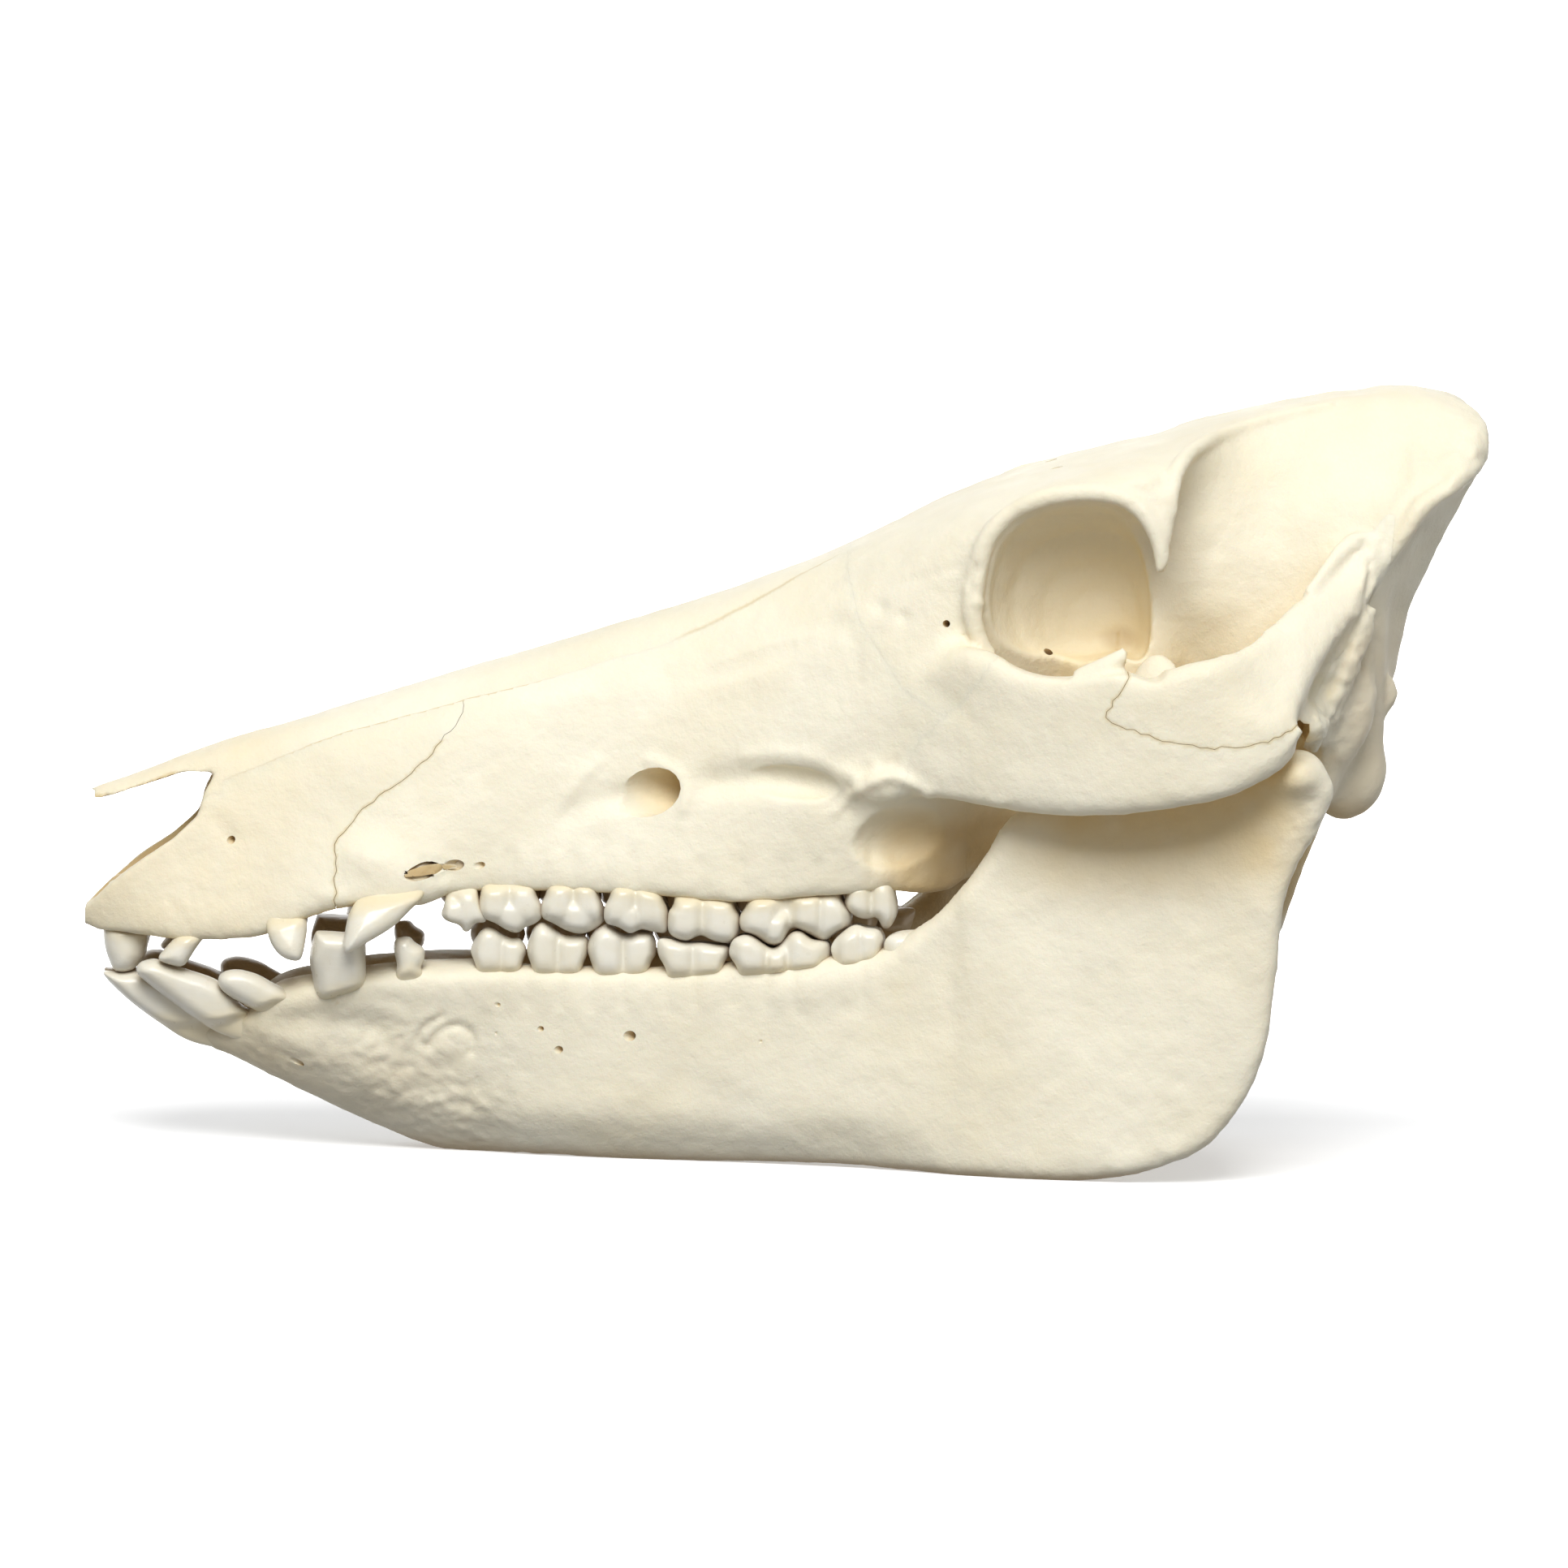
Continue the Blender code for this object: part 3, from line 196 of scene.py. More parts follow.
# The eye socket's rim as a rod, (x, half width, z), from the tear bone over the top to the tip
# of the process behind the eye, and its radius at each point.
EYE_RIM = (
    (42.5, 41, 114.5), (39.6, 41.5, 119.5), (38.4, 42, 126), (39.8, 42.5, 134.5),
    (41.8, 43, 140.2), (45.8, 43.6, 144.8), (51.6, 45, 148), (58, 46, 149.5), (64.6, 46.8, 149.8),
    (69.8, 47.6, 148.7), (74.2, 48.3, 145.6), (76.9, 48.6, 141.2), (78, 48.6, 136.8),
    (77.7, 48.4, 133.2),
)
EYE_RIM_RADII = (1.9, 2.1, 2.3, 2.3, 2.2, 2.1, 2.1, 2.1, 2.1, 2.1, 2.2, 2.2, 1.9, 1.2)

# The line where the forehead ends and the temple begins, and the radius of its ridge.
TEMPLE_LINE = (
    (80, 47.4, 145), (80.4, 45.8, 150.4), (82.2, 41, 155), (86.6, 31.5, 158.6), (94.5, 20.5, 161.4),
    (104.8, 15.8, 164), (116, 14, 166.4),
)
TEMPLE_LINE_RADII = (1.4, 1.7, 1.7, 1.6, 1.5, 1.4, 1.2)

# Side outline of the process behind the eye, a flat triangle of bone with its tip downwards.
EYE_PROCESS = (
    (66, 151), (71.5, 147.6), (74.9, 144), (76.4, 140.2), (77.1, 136.2), (76.6, 132.4),
    (78.4, 133.4), (79.3, 137), (80.7, 142), (80.8, 147), (79.6, 151), (74, 152.2), (68, 151.8),
)
EYE_PROCESS_DEPTH = 5
EYE_PROCESS_RIM = 2.2

# Back wall of the temple. Each row: z, x at the braincase, then x and half width at the arch.
TEMPLE_WALL = (
    (96, 102, 100, 58), (103, 106, 103.5, 60), (111, 109, 107.5, 56), (118, 112.5, 112.5, 51),
    (125, 116.5, 117.5, 45.5), (132, 120, 121.5, 40), (137, 122.5, 123.5, 36.5),
)

# Hollows: below the cheek's root, the facial fossa, the infraorbital opening, the trough
# beside the nasal bones, and the pit of the tear bone.
DENTS = (
    ((28.5, 44.5, 75.5), (19, 17, 9.8), (0, -8, 0)),
    ((-3, 37, 88), (14, 7.5, 4.4), (0, 6, 14)),
    ((-33, 29, 84.6), (8.5, 5.5, 5.6), (0, 0, 20)),
    ((-8, 30.5, 115), (25, 8, 6.5), (0, -20, 17)),
    ((33, 46, 121), (3.6, 3.6, 3.0), (0, 0, 0)),
)

# Teeth, each as its outline seen from the side. The first two points lie in the bone. Then the
# half width of its middle at the gum, how far that moves out for each millimetre up, its width
# across the row, how far its rim is rounded, and 2 for a tooth with two rows of cusps.
UPPER_FRONT = {
    "i1": (((-143.7, 64.8), (-136.4, 64.7), (-135.4, 56.7), (-135.1, 53.6), (-135.8, 50.6),
            (-136.6, 48.1), (-139.4, 45.6), (-142.5, 45.6), (-143.9, 48.0), (-144.8, 51.1),
            (-145.1, 54.6), (-144.6, 57.2)), 5.4, 0.06, 8.4, 4.2, 1),
    "i2": (((-123.4, 62.2), (-118.8, 61.9), (-122.4, 55.4), (-123.8, 53.3), (-125.4, 51.1),
            (-127.8, 47.7), (-130.5, 47.8), (-133.3, 49.1), (-131.7, 51.5), (-129.0, 54.5)),
           14.6, 0.0, 6.0, 2.8, 1),
    "i3": (((-108.6, 64.4), (-102.8, 64.4), (-102.2, 59.4), (-101.5, 56.9), (-101.8, 54.3),
            (-102.8, 49.9), (-104.8, 49.4), (-107.4, 50.6), (-109.4, 53.3), (-110.2, 56.4),
            (-110.3, 58.7), (-109.4, 61.0)), 18.8, -0.3, 6.2, 3.1, 1),
    "c": (((-84.2, 72.1), (-74.9, 72.1), (-75.9, 65.5), (-77.5, 62.4), (-79.4, 60.6),
           (-83.4, 56.9), (-89.0, 53.6), (-92.9, 51.5), (-94.0, 52.8), (-93.6, 55.5),
           (-92.7, 59.5), (-91.0, 62.5), (-88.2, 66.1)), 24.6, -0.4, 8.6, 4.0, 1),
}
UPPER_BACK = {
    "p1": (((-72.1, 71.3), (-66.1, 71.7), (-64.9, 62.8), (-64.7, 60.7), (-63.5, 58.9),
            (-64.0, 57.3), (-66.0, 57.2), (-67.1, 55.6), (-68.4, 55.3), (-69.4, 56.7),
            (-71.2, 57.3), (-72.6, 58.0), (-73.3, 59.3), (-72.9, 61.8)), 21.6, 0.0, 4.8, 2.2, 1),
    "p2": (((-64.7, 72.4), (-52.8, 72.4), (-52.6, 63.9), (-51.9, 61.1), (-51.8, 58.5),
            (-53.4, 57.0), (-55.3, 56.3), (-57.0, 55.1), (-59.3, 55.7), (-61.8, 57.2),
            (-63.9, 58.1), (-65.3, 60.0), (-65.6, 63.2)), 21.9, 0.0, 6.2, 2.9, 1),
    "p3": (((-51.0, 72.8), (-39.8, 72.8), (-39.3, 63.9), (-38.7, 60.7), (-38.8, 57.5),
            (-41.2, 55.6), (-44.0, 54.9), (-47.1, 55.8), (-49.6, 57.2), (-51.9, 58.5),
            (-52.0, 61.4), (-51.5, 64.1)), 22.3, 0.0, 8.0, 3.4, 1),
    "p4": (((-37.4, 72.4), (-26.5, 72.4), (-25.9, 63.5), (-25.2, 60.0), (-25.4, 55.6),
            (-28.1, 55.5), (-30.9, 56.1), (-33.2, 55.2), (-35.6, 56.5), (-38.5, 57.6),
            (-38.7, 60.7), (-37.9, 63.9)), 22.6, 0.0, 11.0, 3.0, 2),
    "m1": (((-24.4, 71.7), (-11.1, 71.3), (-10.5, 61.4), (-10.0, 58.9), (-10.1, 55.8),
            (-11.1, 53.9), (-13.0, 53.2), (-15.8, 53.8), (-18.4, 54.9), (-21.4, 53.7),
            (-24.3, 54.7), (-25.3, 56.5), (-25.1, 60.0), (-24.7, 61.8)), 23.4, 0.0, 12.6, 3.2, 2),
    "m2": (((-9.0, 71.4), (12.1, 71.7), (12.6, 62.8), (13.3, 60.0), (13.1, 57.0), (10.5, 55.6),
            (7.9, 53.8), (6.0, 54.4), (3.9, 55.5), (1.1, 56.6), (-0.1, 55.3), (-1.3, 53.4),
            (-3.0, 52.9), (-4.8, 53.4), (-7.2, 55.0), (-9.9, 56.2), (-10.2, 59.0),
            (-9.6, 62.2)), 24.4, 0.0, 14.4, 3.4, 2),
    "m3": (((13.1, 73.6), (22.6, 73.9), (23.1, 64.3), (23.2, 60.1), (22.0, 57.0), (20.3, 56.4),
            (18.9, 58.8), (17.3, 58.5), (15.4, 58.6), (13.5, 59.6), (12.1, 61.5),
            (11.8, 64.3)), 25.4, 0.0, 13.0, 3.2, 2),
}
LOWER_FRONT = {
    "i1": (((-114.5, 28.6), (-113.5, 34.0), (-121.6, 38.6), (-129.7, 42.6), (-134.7, 44.6),
            (-138.0, 45.6), (-141.8, 45.4), (-145.4, 45.5), (-143.3, 42.6), (-138.8, 38.5),
            (-133.2, 34.4), (-127.7, 30.9), (-121.6, 29.2)), 4.2, 0.0, 7.4, 2.6, 1),
    "i2": (((-109.3, 29.7), (-106.3, 33.7), (-115.2, 38.6), (-117.4, 41.5), (-121.4, 44.5),
            (-128.0, 46.8), (-133.0, 48.6), (-135.1, 48.8), (-137.4, 47.9), (-138.0, 46.0),
            (-135.6, 43.6), (-130.5, 39.6), (-124.5, 35.2), (-119.4, 32.3)),
           11.4, 0.12, 8.4, 3.4, 1),
    "i3": (((-101.2, 35.8), (-99.1, 38.3), (-105.9, 42.4), (-109.2, 44.2), (-112.3, 45.9),
            (-116.3, 46.9), (-119.3, 46.4), (-120.5, 45.0), (-120.1, 43.0), (-118.2, 41.2),
            (-115.3, 39.6), (-111.7, 37.6), (-106.7, 35.4)), 15.8, 0.14, 6.6, 3.0, 1),
    "c": (((-97.6, 38.6), (-91.0, 38.6), (-89.2, 43.1), (-89.2, 50.2), (-89.7, 54.9),
           (-94.0, 55.3), (-99.1, 55.6), (-99.9, 54.9), (-101.1, 50.2), (-100.4, 45.4),
           (-99.7, 41.6)), 18.8, 0.3, 11.0, 3.4, 1),
    "p1": (((-82.4, 41.1), (-77.5, 41.1), (-77.2, 46.1), (-77.7, 47.7), (-76.9, 49.3),
            (-76.9, 51.6), (-79.1, 53.1), (-79.9, 54.1), (-81.9, 54.1), (-83.1, 53.5),
            (-83.4, 51.3), (-82.7, 48.3), (-82.9, 46.1)), 19.8, 0.0, 5.6, 2.6, 1),
}
LOWER_BACK = {
    "p2": (((-65.6, 39.3), (-56.3, 39.2), (-55.7, 47.9), (-55.1, 51.4), (-56.6, 53.8),
            (-58.1, 53.8), (-60.5, 54.7), (-62.2, 55.9), (-64.0, 56.0), (-65.6, 54.4),
            (-67.1, 51.3), (-66.4, 47.7)), 19.8, 0.0, 5.6, 2.7, 1),
    "p3": (((-53.5, 38.6), (-43.3, 38.6), (-42.8, 47.5), (-42.1, 50.7), (-42.0, 53.8),
            (-43.7, 54.6), (-46.8, 54.5), (-49.3, 55.9), (-51.0, 57.2), (-52.8, 57.0),
            (-54.0, 55.2), (-55.1, 51.4), (-54.5, 47.3)), 20.9, 0.0, 6.6, 3.0, 1),
    "p4": (((-40.5, 38.4), (-28.9, 38.3), (-28.4, 47.9), (-27.7, 50.4), (-27.7, 53.5),
            (-28.9, 55.3), (-31.7, 55.6), (-33.6, 54.8), (-35.5, 55.4), (-37.4, 56.8),
            (-38.8, 56.8), (-40.9, 55.3), (-42.3, 52.0), (-41.7, 47.5)), 21.9, 0.0, 8.0, 3.2, 1),
    "m1": (((-25.5, 38.8), (-13.5, 38.8), (-13.0, 48.0), (-12.4, 50.5), (-12.4, 52.5),
            (-15.6, 53.0), (-18.4, 53.3), (-21.6, 53.4), (-24.6, 54.1), (-27.3, 54.0),
            (-27.3, 50.7), (-26.4, 47.6)), 23.5, 0.0, 10.6, 2.8, 2),
    "m2": (((-10.4, 39.0), (7.5, 38.9), (8.2, 48.3), (9.1, 50.3), (8.8, 53.6), (5.4, 54.2),
            (3.0, 55.9), (0.9, 55.6), (-1.2, 53.5), (-3.0, 52.3), (-5.1, 53.4), (-7.2, 54.9),
            (-9.0, 55.2), (-11.5, 54.1), (-12.3, 51.0), (-11.6, 48.1)), 25.5, 0.0, 12.6, 3.2, 2),
    "m3": (((10.6, 39.8), (18.7, 40.5), (19.9, 50.4), (20.5, 53.9), (19.4, 56.3), (16.6, 56.8),
            (14.1, 57.4), (10.7, 55.0), (9.2, 52.4), (9.7, 48.5)), 27.5, 0.0, 11.0, 3.2, 2),
    "m3_heel": (((20.7, 44.7), (26.3, 45.5), (28.6, 53.4), (28.4, 55.7), (26.0, 56.1),
                 (22.5, 55.6), (20.5, 54.1), (20.0, 50.6)), 29.3, 0.0, 9.0, 3.2, 2),
}


# Making and joining meshes

PARTS = bpy.data.collections.new("pig_skull_looks")
bpy.context.scene.collection.children.link(PARTS)


def add_object(name, mesh):
    obj = bpy.data.objects.new(name, mesh)
    PARTS.objects.link(obj)
    return obj


def mesh_from(name, points, faces, side=1):
    """A closed mesh from points in millimetres. On the left side (side -1) y is mirrored."""
    flipped = [face[::-1] for face in faces] if side < 0 else faces
    mesh = bpy.data.meshes.new(name)
    mesh.from_pydata([(x * MM, side * y * MM, z * MM) for x, y, z in points], [], flipped)
    mesh.validate()
    return mesh


def coordinates(mesh):
    points = np.empty(len(mesh.vertices) * 3)
    mesh.vertices.foreach_get("co", points)
    return points.reshape(-1, 3)


def skin_normals(mesh):
    normals = np.empty(len(mesh.vertices) * 3)
    mesh.vertices.foreach_get("normal", normals)
    return normals.reshape(-1, 3)


def set_coordinates(mesh, points):
    mesh.vertices.foreach_set("co", points.ravel())
    mesh.update()


def bake(obj):
    """Applies the object's modifiers, or turns a curve into a mesh with its caps welded on."""
    graph = bpy.context.evaluated_depsgraph_get()
    mesh = bpy.data.meshes.new_from_object(obj.evaluated_get(graph))
    if obj.type == "MESH":
        obj.modifiers.clear()
        obj.data = mesh
        return obj
    work = bmesh.new()
    work.from_mesh(mesh)
    bmesh.ops.remove_doubles(work, verts=work.verts, dist=1e-6)
    bmesh.ops.recalc_face_normals(work, faces=work.faces)
    work.to_mesh(mesh)
    work.free()
    made = add_object(obj.name + "_mesh", mesh)
    made.matrix_world = obj.matrix_world
    bpy.data.objects.remove(obj)
    return made


def merged(name, pieces):
    """One object that holds the faces of all pieces, which are removed."""
    work = bmesh.new()
    for piece in pieces:
        work.from_mesh(piece.data)
        bpy.data.objects.remove(piece)
    mesh = bpy.data.meshes.new(name)
    work.to_mesh(mesh)
    work.free()
    return add_object(name, mesh)


def fuse(obj, voxel, rounds):
    """Overlapping closed pieces become one skin, whose inner corners are rounded by smoothing."""
    remesh = obj.modifiers.new("fuse", "REMESH")
    remesh.mode = "VOXEL"
    remesh.voxel_size = voxel * MM
    smooth = obj.modifiers.new("round", "SMOOTH")
    smooth.factor = 0.5
    smooth.iterations = rounds
    return bake(obj)


def boolean(obj, other, operation):
    step = obj.modifiers.new(operation.lower(), "BOOLEAN")
    step.operation = operation
    step.solver = "MANIFOLD"
    step.object = other
    return bake(obj)


def keep_largest(obj):
    """Removes every loose scrap and sealed hollow, so that one closed surface is left."""
    mesh = obj.data
    ends = np.empty(len(mesh.edges) * 2, np.int64)
    mesh.edges.foreach_get("vertices", ends)
    a, b = ends.reshape(-1, 2).T
    label = np.arange(len(mesh.vertices))
    while True:
        low = np.minimum(label[a], label[b])
        found = label.copy()
        np.minimum.at(found, label[a], low)
        np.minimum.at(found, label[b], low)
        found = found[found]
        if np.array_equal(found, label):
            break
        label = found
    scraps = np.flatnonzero(label != np.bincount(label).argmax())
    if len(scraps):
        work = bmesh.new()
        work.from_mesh(mesh)
        work.verts.ensure_lookup_table()
        bmesh.ops.delete(work, geom=[work.verts[k] for k in scraps], context="VERTS")
        work.to_mesh(mesh)
        work.free()
    return obj


# Curves through named points

def smooth_path(points, steps, closed=False):
    """Points on a Catmull-Rom curve through the given ones, with this many steps to each span."""
    given = np.array(points, float)
    count = len(given)
    spans = count if closed else count - 1
    found = []
    for span in range(spans):
        if closed:
            a, b, c, d = (given[(span + k) % count] for k in (-1, 0, 1, 2))
        else:
            b, c = given[span], given[span + 1]
            a = given[span - 1] if span else 2 * b - c
            d = given[span + 2] if span + 2 < count else 2 * c - b
        for step in range(steps):
            t = step / steps
            found.append(
                0.5 * (2 * b + (c - a) * t + (2 * a - 5 * b + 4 * c - d) * t * t
                       + (3 * b - a - 3 * c + d) * t ** 3)
            )
    if not closed:
        found.append(given[-1])
    return np.array(found)


def table(rows, column, x):
    """The value of one column of a table, read between its rows along the first column."""
    rows = np.array(rows, float)
    return np.interp(x, rows[:, 0], rows[:, column])


def soft_step(value, start, end):
    t = np.clip((value - start) / (end - start), 0, 1)
    return t * t * (3 - 2 * t)


# Basic forms

def loft(name, rings, side=1):
    """A closed skin over rings of equal count, ordered along their path."""
    count = len(rings[0])
    points = [tuple(point) for ring in rings for point in ring]
    faces = []
    for row in range(len(rings) - 1):
        for k in range(count):
            a = row * count + k
            b = row * count + (k + 1) % count
            faces.append((a, b, b + count, a + count))
    faces.append(tuple(range(count))[::-1])
    last = (len(rings) - 1) * count
    faces.append(tuple(range(last, last + count)))
    obj = add_object(name, mesh_from(name, points, faces, side))
    work = bmesh.new()
    work.from_mesh(obj.data)
    bmesh.ops.recalc_face_normals(work, faces=work.faces)
    work.to_mesh(obj.data)
    work.free()
    return obj


def ellipsoid(name, centre, radii, side=1, turn=(0, 0, 0)):
    """A ball stretched to three radii and turned by angles in degrees about X, Y and Z."""
    mesh = bpy.data.meshes.new(name)
    work = bmesh.new()
    bmesh.ops.create_icosphere(work, subdivisions=4, radius=1)
    angles = [math.radians(angle) for angle in turn]
    turned = Matrix.Rotation(angles[2] * side, 4, "Z") @ Matrix.Rotation(angles[1], 4, "Y")
    turned = turned @ Matrix.Rotation(angles[0] * side, 4, "X")
    size = Matrix.Diagonal((radii[0] * MM, radii[1] * MM, radii[2] * MM, 1))
    place = Matrix.Translation((centre[0] * MM, side * centre[1] * MM, centre[2] * MM))
    bmesh.ops.transform(work, matrix=place @ turned @ size, verts=work.verts)
    work.to_mesh(mesh)
    work.free()
    return add_object(name, mesh)


def rod(name, points, radii, side=1, sides=3):
    """A round rod through points at (x, half width, z), tapered from radius to radius."""
    path = smooth_path(points, ROD_STEPS)
    sizes = smooth_path([(radius,) for radius in radii], ROD_STEPS)
    curve = bpy.data.curves.new(name, "CURVE")
    curve.dimensions = "3D"
    curve.bevel_depth = MM
    curve.bevel_resolution = sides
    curve.use_fill_caps = True
    spline = curve.splines.new("POLY")
    spline.points.add(len(path) - 1)
    for point, (x, y, z), (radius,) in zip(spline.points, path, sizes):
        point.co = (x * MM, side * y * MM, z * MM, 1)
        point.radius = radius
    return bake(add_object(name, curve))


def slab(name, outline, low, high, smooth_steps=1):
    """A side outline made solid from y = low to y = high."""
    points = smooth_path(outline, smooth_steps, closed=True)
    curve = bpy.data.curves.new(name, "CURVE")
    curve.dimensions = "2D"
    curve.fill_mode = "BOTH"
    curve.extrude = (high - low) / 2 * MM
    spline = curve.splines.new("POLY")
    spline.use_cyclic_u = True
    spline.points.add(len(points) - 1)
    for point, (x, z) in zip(spline.points, points):
        point.co = (x * MM, z * MM, 0, 1)
    obj = add_object(name, curve)
    obj.rotation_euler = (math.pi / 2, 0, 0)
    obj.location = (0, (low + high) / 2 * MM, 0)
    bpy.context.view_layer.update()
    made = bake(obj)
    made.data.transform(made.matrix_world)
    made.matrix_world = Matrix.Identity(4)
    return made


def path_distance(points, path, closed=False):
    """The distance of each (x, z) point to an open or closed path, or to its only point."""
    path = np.array(path, float)
    if len(path) == 1:
        return np.hypot(*(points - path[0]).T)
    least = np.full(len(points), 1e9)
    ends = np.roll(path, -1, axis=0)
    for a, b in list(zip(path, ends))[:None if closed else -1]:
        along = b - a
        t = np.clip(((points - a) @ along) / max(along @ along, 1e-9), 0, 1)
        gone = points - a - t[:, None] * along
        least = np.minimum(least, np.hypot(gone[:, 0], gone[:, 1]))
    return least


def value_at(form, x, z):
    """A number that is the same all over, or the value of a function at (x, z)."""
    return form(x, z) if callable(form) else form


def blank(name, outline, half, voxel, rim, least):
    """A slab with this side outline and its points. For each point also how far across the slab
    it lies, from -1 to 1, and how full the form is there, from least at its edge to 1."""
    obj = slab(name, outline, -half, half, OUTLINE_STEPS)
    fuse(obj, voxel, 0)
    points = coordinates(obj.data) / MM
    seen = points[:, [0, 2]]
    inside = path_distance(seen, smooth_path(outline, OUTLINE_STEPS, closed=True), closed=True)
    round_off = 1 - np.clip(inside / value_at(rim, *seen.T), 0, 1)
    full = np.maximum(np.sqrt(np.clip(1 - round_off ** 2, 0, 1)), least)
    return obj, points, np.clip(points[:, 1] / half, -1, 1), full


def bent_plate(name, outline, reach, thickness, rim, side=1):
    """A plate of bone with this side outline. reach gives the outer half width at (x, z),
    thickness its depth there, and rim the width over which the edge is rounded off."""
    obj, points, spread, full = blank(name, outline, PLATE_HALF, PLATE_VOXEL, rim, PLATE_EDGE)
    x, z = points[:, 0], points[:, 2]
    depth = value_at(thickness, x, z)
    middle = reach(x, z) - depth / 2
    points[:, 1] = -(middle - spread * depth / 2 * full)
    if side > 0:
        points[:, 1] *= -1
    set_coordinates(obj.data, points * MM)
    if side > 0:
        obj.data.flip_normals()
    return obj


# The cranium

def half_section(row):
    """The right half of a cross section, from the top to the palate."""
    top, roof, drop, side_w, side_z, mid_w, mid_z, low_w, low_z, vault = row
    return (
        (0, top),
        (0.62 * roof, top - 0.22 * drop),
        (roof, top - drop),
        (side_w, side_z),
        (mid_w, mid_z),
        (low_w, low_z + 4),
        (low_w - 1.0, low_z - 0.8),
        (max(low_w - 12, 0.45 * low_w), min(low_z + 1.5, vault)),
        (0, vault),
    )


def ring_of(half, x):
    """A closed ring at x from a half section that runs from the top to the bottom midline."""
    path = smooth_path(half, 3)
    left = [(x, -y, z) for y, z in path[::-1][1:-1]]
    return [(x, y, z) for y, z in path] + left


def face_and_roof():
    rows = smooth_path(SECTIONS, SECTION_STEPS)
    return loft("face", [ring_of(half_section(row[1:]), row[0]) for row in rows])


def occiput():
    rings = []
    for row in smooth_path(OCCIPUT, SECTION_STEPS):
        z, front, edge_x, edge_w, dip, margin_x, margin_w, front_w = row
        half = (
            (front, front_w * 0.8),
            (front + 0.25 * (margin_x - front), front_w),
            (front + 0.7 * (margin_x - front), 0.6 * front_w + 0.4 * margin_w),
            (margin_x, margin_w),
            ((margin_x + edge_x) / 2 - 0.5, (margin_w + edge_w) / 2),
            (edge_x, edge_w),
            (edge_x - 0.45 * dip, edge_w * 0.62),
            (edge_x - dip, edge_w * 0.2),
        )
        right = [(x, y, z) for x, y in half]
        rings.append(right + [(x, -y, z) for x, y, z in right[::-1]])
    return loft("occiput", rings)


def arch(side):
    def reach(x, z):
        lean = np.clip(z - ARCH_LEAN_FROM, 0, None) * ARCH_LEAN * soft_step(x, 84, 104)
        return table(ARCH_REACH, 1, x) - lean

    def thickness(x, z):
        return table(ARCH_REACH, 2, x)

    return bent_plate("arch", ARCH, reach, thickness, ARCH_RIM, side)


def base_of_skull(side):
    """Condyles, jugular processes, bullae, wing bones and the bony ear canal."""
    return [
        ellipsoid("condyle", (119.5, 15, 88), (8.5, 8, 10.5), side, (0, 20, 0)),
        ellipsoid("condyle_neck", (112, 14, 92), (10, 8, 9), side),
        ellipsoid("bulla", (98, 19, 77), (11, 6.5, 13), side, (0, -15, 0)),
        ellipsoid("mastoid", (117, 29, 101), (7, 6, 13), side, (0, 20, 0)),
        ellipsoid("joint_seat", (105, 45, 101.5), (9, 13, 4.5), side, (0, 10, 0)),
        rod("jugular", ((115.5, 26, 97), (109, 26.5, 80), (104.7, 26, 65.5), (102.6, 25, 53)),
            (6.2, 5.0, 3.8, 2.2), side),
        rod("ear_canal", ((109, 36, 97), (113, 38, 106), (118, 38, 116), (122.5, 37, 124)),
            (5.0, 5.0, 4.2, 3.0), side),
        rod("wing_bone", ((34, 14, 72), (44, 13.5, 70), (55, 13, 74), (66, 12, 82)),
            (4.5, 4.0, 4.0, 4.5), side),
        rod("hamulus", ((50, 14, 72), (54, 14.5, 66), (58, 15, 62)), (3.0, 2.4, 1.6), side),
        ellipsoid("socket_wall", (72, 22, 113), (14, 10, 20), side),
        ellipsoid("canine_root", (-84, 21, 68), (12, 6, 6), side, (0, 25, 0)),
        ellipsoid("cheek_tuber", (19, 36.5, 88), (13, 5, 5), side, (0, -8, 20)),
    ]


def temple_back_wall(side):
    """The wall of the temporal bone that joins the rear of the arch to the braincase."""
    rings = []
    for z, inner_x, outer_x, outer_w in smooth_path(TEMPLE_WALL, 3):
        rings.append([
            (inner_x - 3, 24, z), (inner_x + 3, 24, z),
            (outer_x + 2, outer_w, z), (outer_x - 2, outer_w, z),
        ])
    return loft("temple_back_wall", rings, side)


def dents(side):
    """Hollows of the face: each is an ellipsoid at (x, half width, z) with radii and a turn."""
    return [
        ellipsoid("dent", centre, radii, side, turn) for centre, radii, turn in DENTS
    ]


def brow(side):
    """The margin of the eye socket, the process behind it and the line above the temple."""
    def reach(x, z):
        return 50.6 - 0.25 * np.clip(z - 140, 0, None)

    return [
        rod("eye_rim", EYE_RIM, EYE_RIM_RADII, side),
        rod("temple_line", TEMPLE_LINE, TEMPLE_LINE_RADII, side),
        bent_plate("eye_process", EYE_PROCESS, reach, EYE_PROCESS_DEPTH, EYE_PROCESS_RIM, side),
    ]


def nose_cavity():
    """The airway, open at the nose and tapering off inside the face."""
    rows = (
        (-160, 7.0, 58, 86), (-145, 7.5, 60, 84), (-132, 9.5, 62.5, 86.5), (-120, 10.5, 64, 90.5),
        (-105, 11.5, 68, 94.5), (-90, 12, 73, 98.5), (-75, 11.5, 77, 102.5), (-62, 9, 82, 104),
        (-52, 4, 89, 102),
    )
    rings = []
    for x, width, low, high in smooth_path(rows, 3):
        middle = (low + high) / 2
        tall = (high - low) / 2
        turn = [2 * math.pi * k / 20 for k in range(20)]
        rings.append([
            (x, width * math.copysign(abs(math.sin(a)) ** 0.8, math.sin(a)),
             middle + tall * math.cos(a)) for a in turn
        ])
    return loft("airway", rings)


